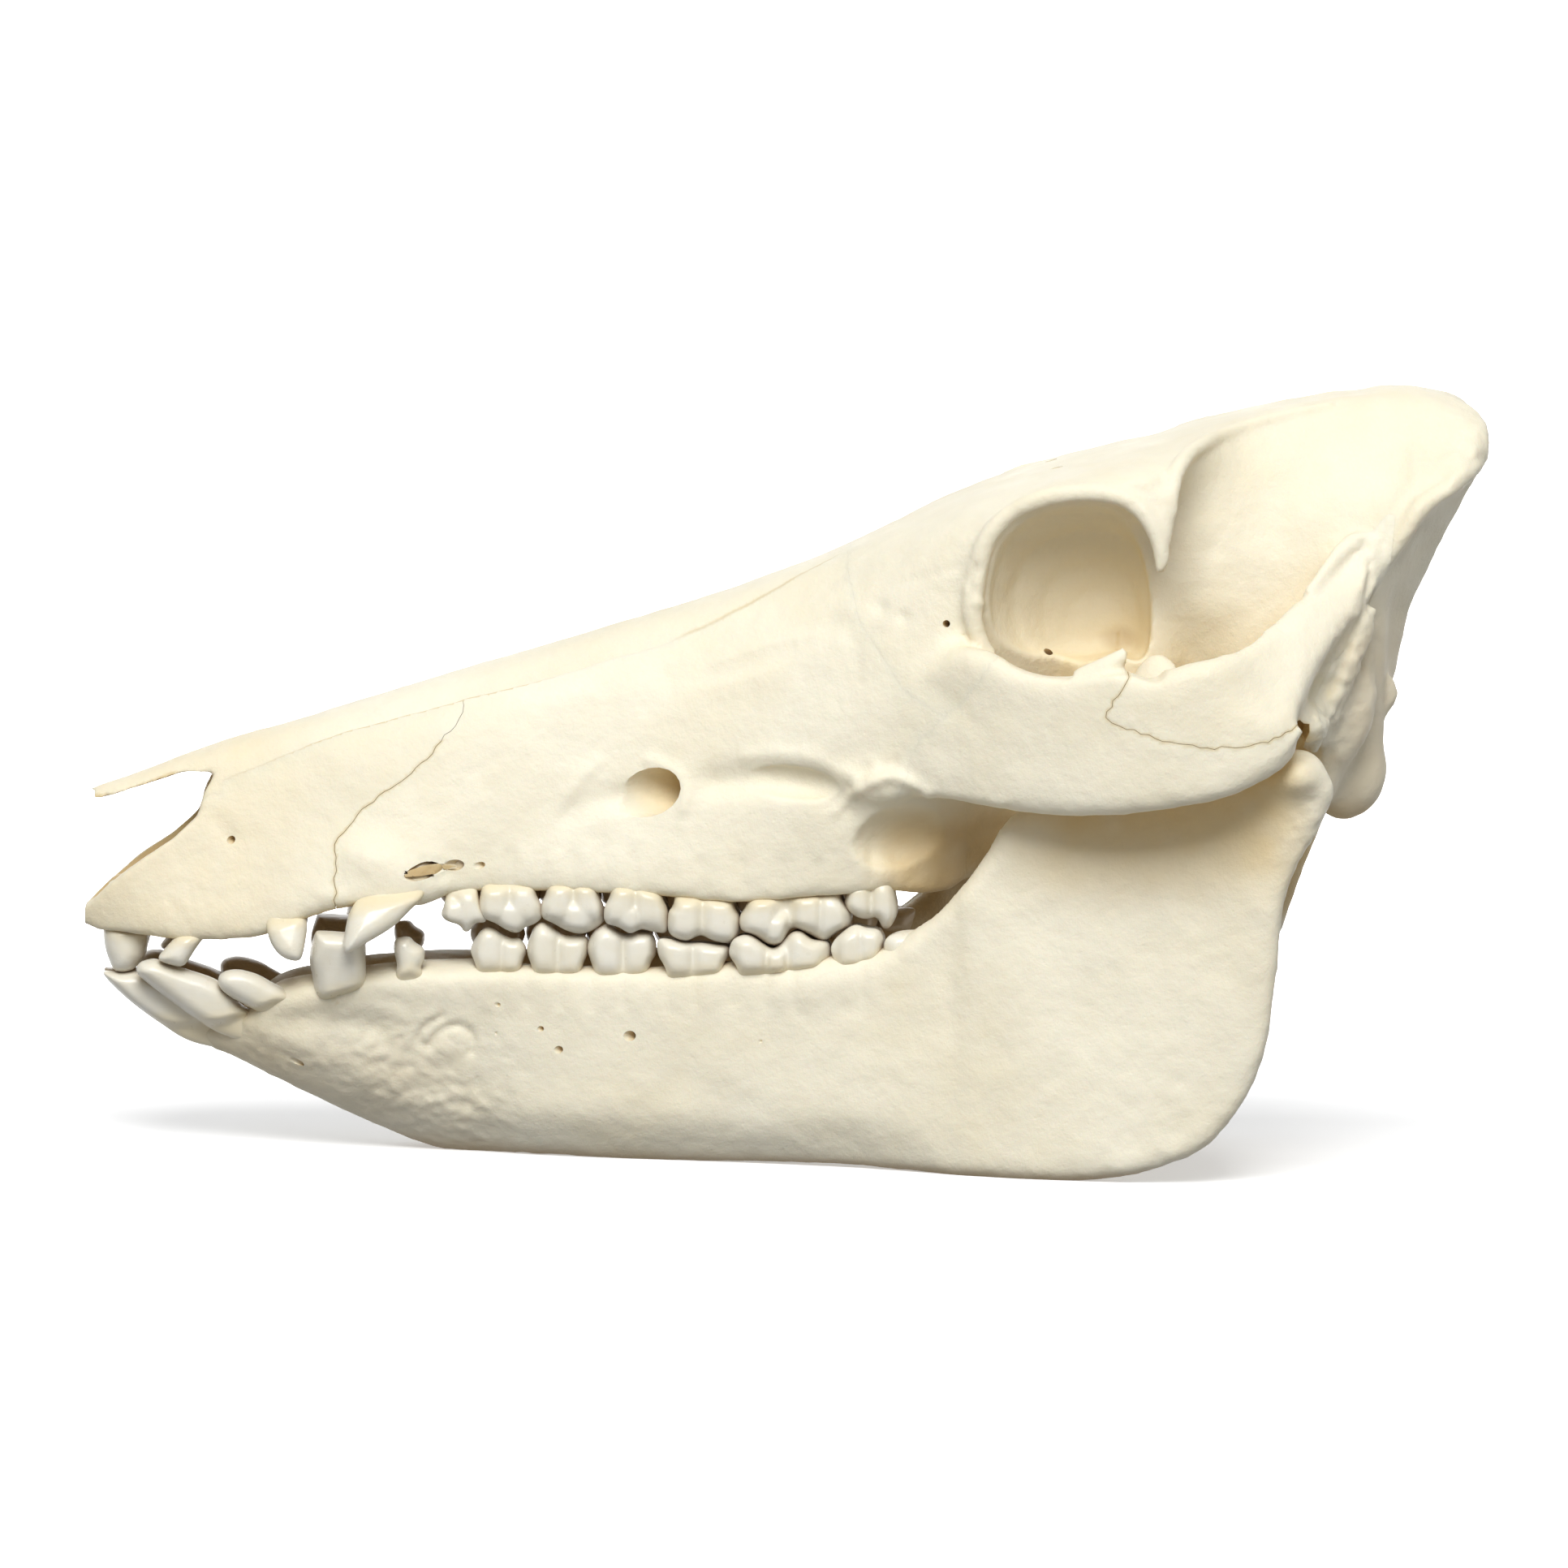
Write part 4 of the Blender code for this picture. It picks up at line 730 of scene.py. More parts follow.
def eye_socket(side):
    """The socket narrows inwards from its rim, with its back side open to the temple."""
    rim = smooth_path(ORBIT_RIM, 3, closed=True)
    middle = rim.mean(axis=0)
    depths = ((84, 1.25, 0.0, 0.0), (62, 1.06, 0.0, 0.0), (46, 1.0, 0.0, 0.0),
              (36, 0.93, 1.0, 1.2), (28, 0.8, 3.0, 3.5), (23, 0.55, 5.0, 7.0), (21, 0.3, 6.0, 9.0))
    rings = []
    for y, size, back, drop in depths:
        ring = middle + (rim - middle) * size
        rings.append([(x + back, y, z - drop) for x, z in ring])
    return loft("socket", rings, side)


def cut_all(obj, cutters):
    for cutter in cutters:
        boolean(obj, cutter, "DIFFERENCE")
        bpy.data.objects.remove(cutter)
    return obj


# The lower jaw

def jaw_half(side):
    """One half of the lower jaw as a bent plate, with its body thicker than its ramus."""
    def between(z, x, top, low):
        high = np.where(x < 36, JAW_HIGH_BODY, JAW_HIGH_RAMUS)
        share = np.clip((z - JAW_LOW) / (high - JAW_LOW), 0, 1.1)
        return table(JAW_REACH, low, x) * (1 - share) + table(JAW_REACH, top, x) * share

    def under(x, z):
        """How far the body's outer side draws in towards its lower border."""
        border = np.interp(x, *np.array(JAW[:13]).T)
        return JAW_UNDER * soft_step(border - z, -12, -1) * soft_step(-x, -42, -12)

    def reach(x, z):
        coronoid = 10 * soft_step(z, 92, 114) * soft_step(-x, -92, -80)
        return between(z, x, 1, 3) - coronoid - under(x, z)

    def thickness(x, z):
        return between(z, x, 2, 4) - under(x, z)

    def rim(x, z):
        return 3.2 + 3.3 * soft_step(-x, -35, 0) * soft_step(-z, -26, -12)

    return bent_plate("jaw", JAW, reach, thickness, rim, side)


# Carving

# Marks on the sides of the cranium and of the lower jaw: a path seen from the side, the half
# widths between which it lies, its width, and its depth, which is negative where it stands proud.
SKULL_MARKS = (
    (((-24.5, 109.4), (-15.4, 114.2), (-3.4, 119.3), (8.6, 121.5)), (14, 40), 3.2, 0.7),
    (((15.6, 125.8), (22.0, 129.2), (36.6, 134.2)), (18, 45), 1.2, 0.25),
    (((19.2, 125.0),), (24, 48), 1.9, 0.8),
    (((24.0, 123.0),), (24, 48), 1.5, 0.7),
    (((38.1, 128.2), (37.4, 131.2), (38.8, 133.7)), (36, 50), 1.3, 0.9),
    (((-8.7, 93.0), (-1.9, 93.8), (5.7, 92.8), (11.5, 90.0)), (26, 46), 1.6, -0.5),
    (((-15.0, 87.6), (-7.0, 88.2), (0.0, 88.2), (7.0, 87.0), (11.5, 84.0)), (22, 46), 3.3, 2.1),
    (((10.2, 81.8), (12.6, 84.2), (15.4, 87.2), (21.8, 89.6), (29.4, 86.6)), (28, 56), 1.3, -0.9),
    (((12.0, 87.5), (16.0, 91.5), (22.0, 92.5)), (30, 56), 1.4, 0.5),
    (((29.4, 86.4), (36.9, 86.0), (44.0, 85.0)), (36, 60), 1.3, -0.5),
    (((30.3, 108.2), (32.8, 104.7)), (34, 60), 3.5, 0.6),
    (((37.5, 133.9), (36.6, 131.2), (37.8, 128.3), (40.2, 126.2)), (34, 50), 1.0, -0.5),
    (((80.6, 129.9), (79.6, 121.3), (80.6, 114.0)), (20, 44), 3.0, -0.5),
    (((121.6, 138.4), (122.9, 133.3), (121.8, 126.4), (118.4, 117.8), (113.4, 107.6)),
     (30, 60), 0.9, 0.6),
    (((11.7, 121.5), (14.2, 116.3), (14.7, 109.5)), (24, 48), 1.6, 0.2),
    (((-34.4, 85.3), (-39.5, 83.6), (-46.3, 81.0)), (16, 34), 3.2, 0.9),
    (((-29.0, 91.6), (-24.4, 90.0), (-21.6, 86.4), (-22.0, 81.6)), (16, 36), 1.3, -0.6),
    (((-40.1, 91.5), (-43.7, 87.9), (-46.3, 84.5), (-48.4, 81.4)), (16, 34), 1.6, -0.5),
    (((-120.2, 78.0), (-118.0, 75.4)), (8, 22), 2.2, 0.45),
    (((133.1, 156.8), (132.8, 149.9), (128.0, 143.0), (123.4, 137.6)), (12, 40), 2.4, -0.9),
    (((138.2, 150.8), (132.4, 147.9), (129.0, 143.0), (123.3, 134.6)), (20, 42), 1.6, 0.8),
    (((96.0, 156.7), (101.1, 149.8), (102.9, 139.5)), (10, 40), 4.0, 0.4),
    (((88.9, 136.4),), (18, 42), 3.0, 0.4),
    (((-97.9, 63.2), (-94.4, 62.7)), (15, 32), 1.5, -0.4),
)
JAW_MARKS = (
    (((-73.2, 37.1), (-76.0, 35.4), (-77.9, 33.2), (-77.5, 31.3)), (12, 30), 0.8, 0.7),
    (((-76.0, 30.6), (-73.9, 33.7), (-70.4, 35.1), (-67.9, 34.4), (-66.8, 32.3), (-67.0, 29.7)),
     (12, 30), 0.9, 0.75),
    (((-72.0, 30.5),), (12, 30), 3.2, -0.5),
    (((-108.3, 35.3), (-98.0, 36.0), (-87.3, 34.6)), (8, 28), 3.4, 1.0),
    (((46.5, 80.4), (41.4, 69.6), (32.9, 59.3), (25.2, 53.3)), (30, 60), 2.2, -0.5),
    (((46.3, 65.8), (55.7, 52.1), (60.8, 38.4)), (30, 62), 7.0, 0.5),
    (((86.4, 14.5), (79.6, 10.2), (69.3, 7.7)), (30, 60), 3.0, -0.4),
    (((-22.4, 23.7), (-5.3, 17.7), (13.7, 12.4)), (15, 45), 4.0, 0.35),
)
# Rough places: middle of the patch seen from the side, half widths, radius and height.
SKULL_ROUGH = (
    ((17.6, 88.0), (28, 52), 5.0, 0.35), ((117.0, 112.0), (28, 50), 9.0, 0.45),
    ((112.0, 99.0), (28, 60), 7.0, 0.35), ((145.0, 156.0), (0, 40), 9.0, 0.2),
    ((-74.0, 68.0), (18, 32), 5.0, 0.25), ((-128.0, 60.0), (2, 24), 8.0, 0.15),
)
JAW_ROUGH = (
    ((-72.0, 20.0), (6, 32), 14.0, 0.3), ((-88.0, 29.0), (6, 32), 11.0, 0.24),
    ((82.0, 16.0), (30, 62), 14.0, 0.14), ((112.0, 80.0), (40, 70), 7.0, 0.4),
    ((-110.0, 26.0), (4, 28), 10.0, 0.2),
)
# Places of the tooth roots along x, and the height of the bone's edge there.
UPPER_ROOTS = (
    ((-61.5, -55.5, -48.5, -42.5, -35.5, -29.5), 66.8),
    ((-22.0, -14.5, -5.0, 2.5, 9.5), 65.4), ((15.0, 20.5), 67.5),
)
LOWER_ROOTS = (
    ((-63.5, -58.5, -51.5, -45.5, -38.5, -31.5), 45.0),
    ((-23.5, -16.5, -8.0, -2.0, 4.0), 45.6), ((13.0, 18.0), 47.5),
)
# Small openings, each a tapered rod from outside the bone inwards, (x, half width, z), and radii.
SKULL_HOLES = (
    (((-39.5, 29.8, 83.2), (-32.5, 26.8, 84.6), (-26, 22.6, 85.6), (-17.5, 17.5, 87.5)),
     (4.2, 5.0, 4.9, 2.6)),
    (((31.4, 48, 122.4), (33.4, 40, 121.8), (37, 34, 121)), (0.85, 0.75, 0.45)),
    (((55.3, 30, 119), (55.3, 25, 114.6), (56, 21, 111)), (0.9, 0.95, 0.6)),
    (((-119.4, 20, 73.8), (-118.2, 16, 74.3), (-116.4, 13, 74.8)), (1.1, 1.0, 0.5)),
    (((-81, 27.5, 67.2), (-78, 25.2, 68.2), (-74.6, 22.6, 69.2), (-71, 20.5, 69.8)),
     (0.9, 1.7, 1.8, 1.0)),
    (((-74.4, 27, 69.0), (-71.6, 24.4, 69.5), (-68, 21.6, 69.8)), (0.8, 1.3, 0.9)),
    (((-69, 26.5, 68.6), (-66.8, 24.4, 69.2), (-64, 22.4, 69.8)), (0.6, 0.9, 0.6)),
    (((-81, 26.0, 67.8), (-76, 25.0, 68.8), (-70, 24.4, 69.4), (-64.6, 24.4, 69.4)),
     (0.5, 1.15, 1.05, 0.5)),
    (((56, 12.5, 160), (58, 12, 152), (61, 11.5, 147)), (1.4, 1.3, 0.9)),
)
JAW_HOLES = (
    (((-36.5, 30, 33.0), (-33.5, 26.4, 33.5), (-31, 24.2, 33.8)), (1.0, 1.15, 0.5)),
    (((-51.5, 27.5, 29.6), (-48.8, 24.2, 30.3), (-47, 22.4, 30.6)), (0.7, 0.9, 0.4)),
    (((-64, 26, 39.4), (-62, 23, 39.7), (-60.8, 21.6, 39.8)), (0.5, 0.7, 0.35)),
    (((-54.6, 26.5, 34.3), (-52.6, 23.8, 34.7), (-51.4, 22.4, 34.9)), (0.5, 0.7, 0.35)),
    (((-64.4, 25.5, 33.0), (-62.6, 22.6, 33.5), (-61.4, 21.2, 33.7)), (0.5, 0.7, 0.35)),
    (((-9.5, 34.5, 32.0), (-7, 31.6, 32.5), (-5.4, 30.4, 32.7)), (0.45, 0.6, 0.3)),
    (((-109.5, 16.5, 27.5), (-106, 14.0, 27.2), (-102, 13.0, 26.6)), (0.7, 0.9, 0.6)),
    (((70, 38, 66), (75, 45.5, 62), (79, 49, 58)), (3.0, 2.4, 1.4)),
)


# Turns the grid of a noise out of line with the one that it is added to.
TURNED = np.array(Matrix.Rotation(0.7, 3, (1, 2, 3)))


def noise_at(points, size, seed):
    """Smooth noise between -1 and 1 at each point, in bumps of about this size."""
    heights = np.random.default_rng(seed).uniform(-1, 1, 4096)
    cell = points / size
    base = np.floor(cell).astype(np.int64)
    part = cell - base
    part = part * part * (3 - 2 * part)
    total = np.zeros(len(points))
    for corner in range(8):
        step = np.array([corner & 1, corner >> 1 & 1, corner >> 2])
        key = (base + step) @ np.array([73856093, 19349663, 83492791])
        total += heights[key & 4095] * np.prod(np.where(step, part, 1 - part), axis=1)
    return total


def root_marks(rows, up, half_widths):
    """Low ridges in the bone over the roots of the teeth, with hollows between them."""
    found = []
    for places, gum in rows:
        for x in places:
            found.append((((x, gum), (x, gum + 5 * up)), half_widths, 1.7, -0.22))
        for a, b in zip(places, places[1:]):
            found.append(((((a + b) / 2, gum - 0.6 * up), ((a + b) / 2, gum + 5 * up)),
                          half_widths, 1.2, 0.25))
    return tuple(found)


def carve(obj, marks, rough):
    """Sinks the marks into both sides of a bone and gives its skin an uneven course."""
    mesh = obj.data
    points = coordinates(mesh) / MM
    normals = skin_normals(mesh)
    seen = points[:, [0, 2]]
    wide = np.abs(points[:, 1])
    facing = normals[:, 1] * np.sign(points[:, 1]) > 0.05
    rise = 0.26 * noise_at(points, 13, 3) + 0.13 * noise_at(points @ TURNED, 5, 4)
    rise += 0.045 * noise_at(points @ TURNED, 1.9, 5)
    for path, (low, high), width, depth in marks:
        near = np.flatnonzero(facing & (wide > low) & (wide < high))
        away = path_distance(seen[near], smooth_path(path, 3) if len(path) > 2 else path)
        rise[near] -= depth * np.exp(-(away / width) ** 2)
    for middle, (low, high), radius, height in rough:
        near = np.flatnonzero((wide > low) & (wide < high))
        away = path_distance(seen[near], (middle,))
        grain = noise_at(points[near] @ TURNED, 1.5, 6) + noise_at(points[near], 2.6, 7)
        rise[near] += height * grain * np.exp(-(away / radius) ** 2)
    set_coordinates(mesh, (points + normals * rise[:, None]) * MM)


def small_holes(holes):
    """The rods that drill the small openings on both sides, as one object."""
    pieces = []
    for side in (-1, 1):
        pieces += [rod("hole", points, radii, side, sides=7) for points, radii in holes]
    return merged("holes", pieces)


# Building and parting the bones

# Fine ridges and tips of the cranium: points (x, half width, z) and radii. They are the pointed
# process of the cheek bone under the eye, that bone's free rear end, the edge of the ear canal,
# the rear edge of the arch, the small knob beside the spinal hole and the rim of the crest at the
# back of the head.
FINE_RIDGES = (
    (((60, 60, 111), (65.5, 61.3, 113.8), (70.2, 61.8, 117.2)), (2.6, 2.4, 1.4)),
    (((95, 68.6, 93.5), (101, 67.8, 97.0), (106.2, 66.6, 101.6)), (2.6, 2.4, 1.2)),
    (((123.4, 36.5, 125), (119.6, 38.5, 117), (115.4, 40.5, 108), (112, 42, 101), (109.6, 42.5, 95)),
     (1.2, 1.7, 1.9, 1.8, 1.4)),
    (((109, 44, 128), (116, 36.2, 135.8), (120.4, 33.4, 138.6), (123.4, 33, 136.6),
      (122.8, 36, 130.5), (119, 42.6, 123)), (1.5, 1.9, 2.1, 2.0, 1.7, 1.2)),
    (((126.5, 18, 101), (128.2, 19, 105), (127.6, 20, 109)), (1.2, 1.6, 1.0)),
    (((149, 12, 158), (145.4, 24, 154.4), (141, 30.5, 151.2), (134.3, 34.5, 146.6),
      (129.6, 35, 140), (125, 33.6, 133), (122.4, 33, 126)), (1.4, 2.0, 2.2, 2.1, 1.9, 1.7, 1.2)),
)


def make_cranium():
    """The whole cranium in one skin: joined, cut, ridged, carved and drilled."""
    pieces = [face_and_roof(), occiput()]
    for side in (-1, 1):
        pieces.append(arch(side))
        pieces += base_of_skull(side)
        pieces.append(temple_back_wall(side))
    skull = merged("whole_cranium", pieces)
    fuse(skull, FILLET_VOXEL, 10)
    cutters = [nose_cavity(), slab("notch", NOSE_NOTCH, -60, 60)]
    for side in (-1, 1):
        cutters.append(eye_socket(side))
        cutters += dents(side)
    cutters.append(rod("spinal_hole", ((104, 0, 100), (118, 0, 100), (140, 0, 103)),
                       (8, 9.5, 11)))
    cutters.append(ellipsoid("choana", (52, 0, 70), (18, 8.5, 10)))
    cut_all(skull, cutters)
    brows = brow(-1) + brow(1)
    for side in (-1, 1):
        brows += [rod("ridge", path, radii, side) for path, radii in FINE_RIDGES]
    skull = merged("whole_cranium", [skull] + brows)
    fuse(skull, BONE_VOXEL, round(5 * (FINE_VOXEL / BONE_VOXEL) ** 2))
    carve(skull, SKULL_MARKS + root_marks(UPPER_ROOTS, 1, (18, 38)), SKULL_ROUGH)
    return cut_all(skull, [small_holes(SKULL_HOLES)])


def make_jaw():
    """Both halves of the lower jaw in one skin, carved and drilled."""
    pieces = []
    for side in (-1, 1):
        pieces.append(jaw_half(side))
        pieces.append(ellipsoid("jaw_condyle", (106, 54, 91), (6.5, 11, 5.5), side))
        pieces.append(ellipsoid("tooth_shelf", (8, 27, 44), (28, 6.5, 7), side, (0, -6, 10)))
    jaw = merged("whole_jaw", pieces)
    fuse(jaw, FILLET_VOXEL, 8)
    fuse(jaw, BONE_VOXEL, round(6 * (FINE_VOXEL / BONE_VOXEL) ** 2))
    carve(jaw, JAW_MARKS + root_marks(LOWER_ROOTS, -1, (16, 40)), JAW_ROUGH)
    return cut_all(jaw, [small_holes(JAW_HOLES)])


def copy_of(obj, name):
    return add_object(name, obj.data.copy())


def jagged(outline, chance):
    """The outline with a finely toothed course, as the edges of two bones have."""
    found = []
    points = np.array(outline, float)
    for a, b in zip(points, np.roll(points, -1, axis=0)):
        along = b - a
        length = np.hypot(*along)
        across = np.array([along[1], -along[0]]) / length
        count = max(1, round(length / 1.5))
        for k in range(count):
            swing = chance.uniform(-0.42, 0.42) if k else 0
            found.append(tuple(a + along * k / count + across * swing))
    return found


def grown(outline, by):
    """The outline moved outwards by a small distance, which may differ from point to point."""
    points = np.array(outline, float)
    before = np.roll(points, 1, axis=0)
    after = np.roll(points, -1, axis=0)
    area = np.sum(before[:, 0] * points[:, 1] - points[:, 0] * before[:, 1])
    along = after - before
    along /= np.hypot(along[:, 0], along[:, 1])[:, None]
    away = np.stack([along[:, 1], -along[:, 0]], axis=1) * math.copysign(1, area)
    return points + away * np.reshape(by, (-1, 1))


def part_off(whole, name, outline, low, high, gap):
    """Takes the bone inside a side outline off the whole, and leaves a thin gap round it."""
    piece = copy_of(whole, name)
    inner = slab("inner", outline, low, high)
    boolean(piece, inner, "INTERSECT")
    outer = slab("outer", grown(outline, gap), low - TIGHT, high + TIGHT)
    boolean(whole, outer, "DIFFERENCE")
    bpy.data.objects.remove(inner)
    bpy.data.objects.remove(outer)
    keep_largest(piece)
    keep_largest(whole)
    return piece


# Side outlines of the single bones, along their sutures, and the half width from which the two
# bones of the arch are parted off.
ZYGOMATIC = (
    (22, 70), (23, 86), (27, 97), (37, 107), (45.5, 119), (58, 128), (70.8, 124), (70.1, 116.9),
    (70.2, 112.4), (66.8, 107.5), (65.4, 103.9), (68.2, 102.2), (75.6, 99.7), (86.5, 97.8),
    (95, 98.1), (101.8, 100), (106.5, 102.6), (108.6, 101.6), (108.2, 95), (103, 75), (60, 70),
)
TEMPORAL = (
    (64, 105), (72, 122), (95, 126), (118, 148), (128, 144), (126.5, 130), (121, 120.5),
    (114, 113), (110.5, 106), (112, 98), (108, 94), (75, 92),
)
INCISIVE = (
    (-95.6, 40), (-95.6, 70), (-95.8, 74), (-90, 81.3), (-82.7, 86.5), (-78.6, 90), (-75, 93),
    (-68.6, 101.5), (-68.6, 130), (-175, 130), (-175, 40),
)
MAXILLA = (
    (16, 175), (13, 132), (15, 122), (24, 108), (38, 99), (38, 40), (-120, 40), (-120, 175),
)
ARCH_ROOT = 36.0
TEMPORAL_ROOT = 34.0
# A half width beyond the widest bone.
FAR = 95


def nasal_region(by):
    """The block of space that holds the nasal bones, along the roof of the snout."""
    rows = ((-175, 40, 74), (-128, 40, 79.5), (-122, 40, 84), (-119.5, 11.5, 84), (-97, 12.6, 92),
            (-66, 13.4, 101), (-25, 14.6, 113.5), (0, 13, 122), (14, 9, 128))
    rings = []
    for x, width, low in rows:
        w = width + by
        rings.append([(x, -w, low - by), (x, w, low - by), (x, w, 200), (x, -w, 200)])
    if by:
        end = rings[-1]
        rings.append([(x + by, y, z) for x, y, z in end])
    return loft("nasal_region", rings)


def part_cranium(skull, cheek, front):
    """Parts the cranium along its sutures. What is left is the braincase."""
    pieces = []
    open_at = [SUTURE if x > 60 and z > 97 else TIGHT for x, z in cheek]
    for side, name in ((-1, "left"), (1, "right")):
        for bone, outline, root, gap in (
            ("zygomatic", cheek, ARCH_ROOT, open_at),
            ("temporal_arch", TEMPORAL, TEMPORAL_ROOT, TIGHT),
        ):
            low, high = sorted((side * root, side * FAR))
            pieces.append(part_off(skull, f"bone_{bone}_{name}", outline, low, high, gap))
    nasal = copy_of(skull, "bone_nasal")
    for obj, by, operation in ((nasal, 0, "INTERSECT"), (skull, TIGHT, "DIFFERENCE")):
        region = nasal_region(by)
        boolean(obj, region, operation)
        bpy.data.objects.remove(region)
        keep_largest(obj)
    pieces.append(nasal)
    pieces.append(part_off(skull, "bone_incisive", front, -FAR, FAR, SUTURE))
    pieces.append(part_off(skull, "bone_maxilla", MAXILLA, -FAR, FAR, TIGHT))
    skull.name = "bone_braincase"
    return pieces + [skull]


def part_jaw(jaw):
    """Parts the lower jaw in its middle."""
    halves = []
    for side, name in ((-1, "left"), (1, "right")):
        half = copy_of(jaw, f"bone_mandible_{name}")
        low, high = sorted((side * SUTURE / 2, side * FAR))
        box = slab("half", ((-175, -20), (175, -20), (175, 175), (-175, 175)), low, high)
        boolean(half, box, "INTERSECT")
        bpy.data.objects.remove(box)
        halves.append(keep_largest(half))
    bpy.data.objects.remove(jaw)
    return halves


# Teeth

# Heights at which the half widths of the rows are given.
UPPER_LEVEL = 63.0
LOWER_LEVEL = 47.0
# Height of the gum line along the rows of teeth.
UPPER_GUM = (
    (-145, 55.4), (-134, 54.6), (-127, 54.2), (-119, 54.4), (-110, 56.5), (-102, 59.2),
    (-91, 61.5), (-80, 63.4), (-70, 64.6), (-58, 65.6), (-45, 65.8), (-32, 65.2), (-24, 63.0),
    (-12, 62.6), (-4, 63.2), (6, 64.2), (12, 65.6), (18, 67.0), (24, 68.0),
)
LOWER_GUM = (
    (-128, 34.0), (-119, 35.5), (-108, 40.0), (-98, 41.0), (-88, 44.0), (-80, 46.0),
    (-61, 46.6), (-48, 46.0), (-35, 45.4), (-20, 46.2), (-2, 47.4), (14, 48.6), (24, 50.6),
    (30, 52.0),
)
# Bulges of the crowns' outer sides: middle (x, z) and half sizes along x and z.
LOBES = {
    "upper_p1": ((-70.6, 59.3, 1.8, 2.2), (-66.9, 60.1, 2.3, 3.2)),
    "upper_p2": ((-62.0, 61.4, 2.6, 3.4), (-55.6, 61.3, 2.6, 3.4), (-58.3, 58.4, 2.6, 3.0)),
    "upper_p3": ((-48.7, 61.8, 2.8, 3.8), (-42.0, 62.2, 2.7, 3.8), (-44.6, 58.6, 2.8, 3.0)),
    "upper_p4": ((-35.4, 61.5, 2.8, 3.9), (-29.0, 61.5, 2.8, 4.3), (-33.6, 58.4, 2.2, 2.8)),
    "upper_m1": ((-22.0, 58.6, 3.0, 4.3), (-14.0, 58.2, 3.1, 4.4)),
    "upper_m2": ((-6.0, 59.4, 3.2, 4.2), (-2.4, 56.2, 2.0, 2.9), (4.2, 60.0, 2.6, 3.6),
                 (9.6, 59.0, 2.8, 4.2)),
    "upper_m3": ((14.6, 62.9, 2.4, 3.4), (20.6, 62.0, 2.4, 4.4)),
    "lower_p2": ((-63.2, 51.9, 2.5, 4.4), (-58.0, 50.2, 2.2, 3.4)),
    "lower_p3": ((-51.7, 51.9, 2.6, 4.8), (-45.4, 50.5, 2.6, 3.8)),
    "lower_p4": ((-38.3, 51.7, 2.8, 4.8), (-31.2, 51.0, 2.8, 4.3)),
    "lower_m1": ((-23.7, 50.7, 2.8, 3.6), (-16.2, 50.2, 2.9, 3.4)),
    "lower_m2": ((-8.0, 51.6, 3.0, 3.8), (-2.4, 49.6, 1.8, 2.6), (3.9, 51.5, 3.2, 4.1)),
    "lower_m3": ((13.2, 52.6, 2.2, 4.0), (17.4, 53.6, 2.2, 4.0)),
    "lower_m3_heel": ((24.2, 53.3, 3.0, 2.4),),
}


def swollen(name, outline, middle, depth, rim, side):
    """A solid with this side outline, swollen to the depth and rounded off over its rim.
    middle gives the half width of its middle at height z, and depth its width at (x, z)."""
    obj, points, spread, full = blank(name, outline, TOOTH_HALF, TOOTH_VOXEL * 1.3, rim, TOOTH_EDGE)
    x, z = points[:, 0], points[:, 2]
    points[:, 1] = spread * full * depth(x, z) / 2 + middle(z) * side
    set_coordinates(obj.data, points * MM)
    return obj


def pinched(outline):
    """The outline of a cheek tooth with its root drawn in, so that its neck is narrower."""
    middle = (outline[0][0] + outline[1][0]) / 2
    found = []
    for k, (x, z) in enumerate(outline):
        share = {0: 0.62, 1: 0.62, 2: 0.9, len(outline) - 1: 0.9}.get(k, 1.0)
        found.append((middle + (x - middle) * share, z))
    return found


def tooth(name, form, level, side, chance):
    """One tooth with its lobes, drawn in below the gum line and a little off its place."""
    outline, row, lean, width, rim, rows = form
    if name in LOBES:
        outline = pinched(outline)
    size = chance.uniform(0.97, 1.0)
    slip = chance.uniform(-0.12, 0.12)
    lobes = LOBES.get(name, ())
    gum = UPPER_GUM if level == UPPER_LEVEL else LOWER_GUM
    up = -1 if level == UPPER_LEVEL else 1

    def depth(x, z):
        bulge = np.full(len(x), 0.0 if lobes else 1.0)
        for cx, cz, rx, rz in lobes:
            bulge = np.maximum(bulge, np.exp(-(((x - cx) / rx) ** 4 + ((z - cz) / rz) ** 4) / 2))
        sunk = up * (np.interp(x, *np.array(gum).T) - z)
        return width * size * (0.4 + 0.68 * bulge) * (1 - 0.6 * soft_step(sunk, -1.6, 1.2))

    plates = []
    for share, part in (((0, 1.0),) if rows == 1 else ((0.23, 0.58), (-0.23, 0.58))):
        plates.append(swollen(
            name, [(x + slip + (0.5 if share < 0 else 0), z) for x, z in outline],
            lambda z: row + share * width + lean * (z - level),
            lambda x, z: depth(x, z) * part, rim * (0.7 if lobes else 1), side,
        ))
    crown = merged(name, plates)
    return fuse(crown, TOOTH_VOXEL, 2)


def tooth_row(name, forms, jaw, level, side, chance):
    return merged(name, [
        tooth(f"{jaw}_{key}", form, level, side, chance) for key, form in forms.items()
    ])


def all_teeth(chance):
    rows = {}
    for side, hand in ((-1, "left"), (1, "right")):
        for jaw, level, place, forms in (
            ("upper", UPPER_LEVEL, "front", UPPER_FRONT),
            ("upper", UPPER_LEVEL, "cheek", UPPER_BACK),
            ("lower", LOWER_LEVEL, "front", LOWER_FRONT),
            ("lower", LOWER_LEVEL, "cheek", LOWER_BACK),
        ):
            name = f"teeth_{jaw}_{place}_{hand}"
            rows[name] = tooth_row(name, forms, jaw, level, side, chance)
    return rows


# Standing at rest

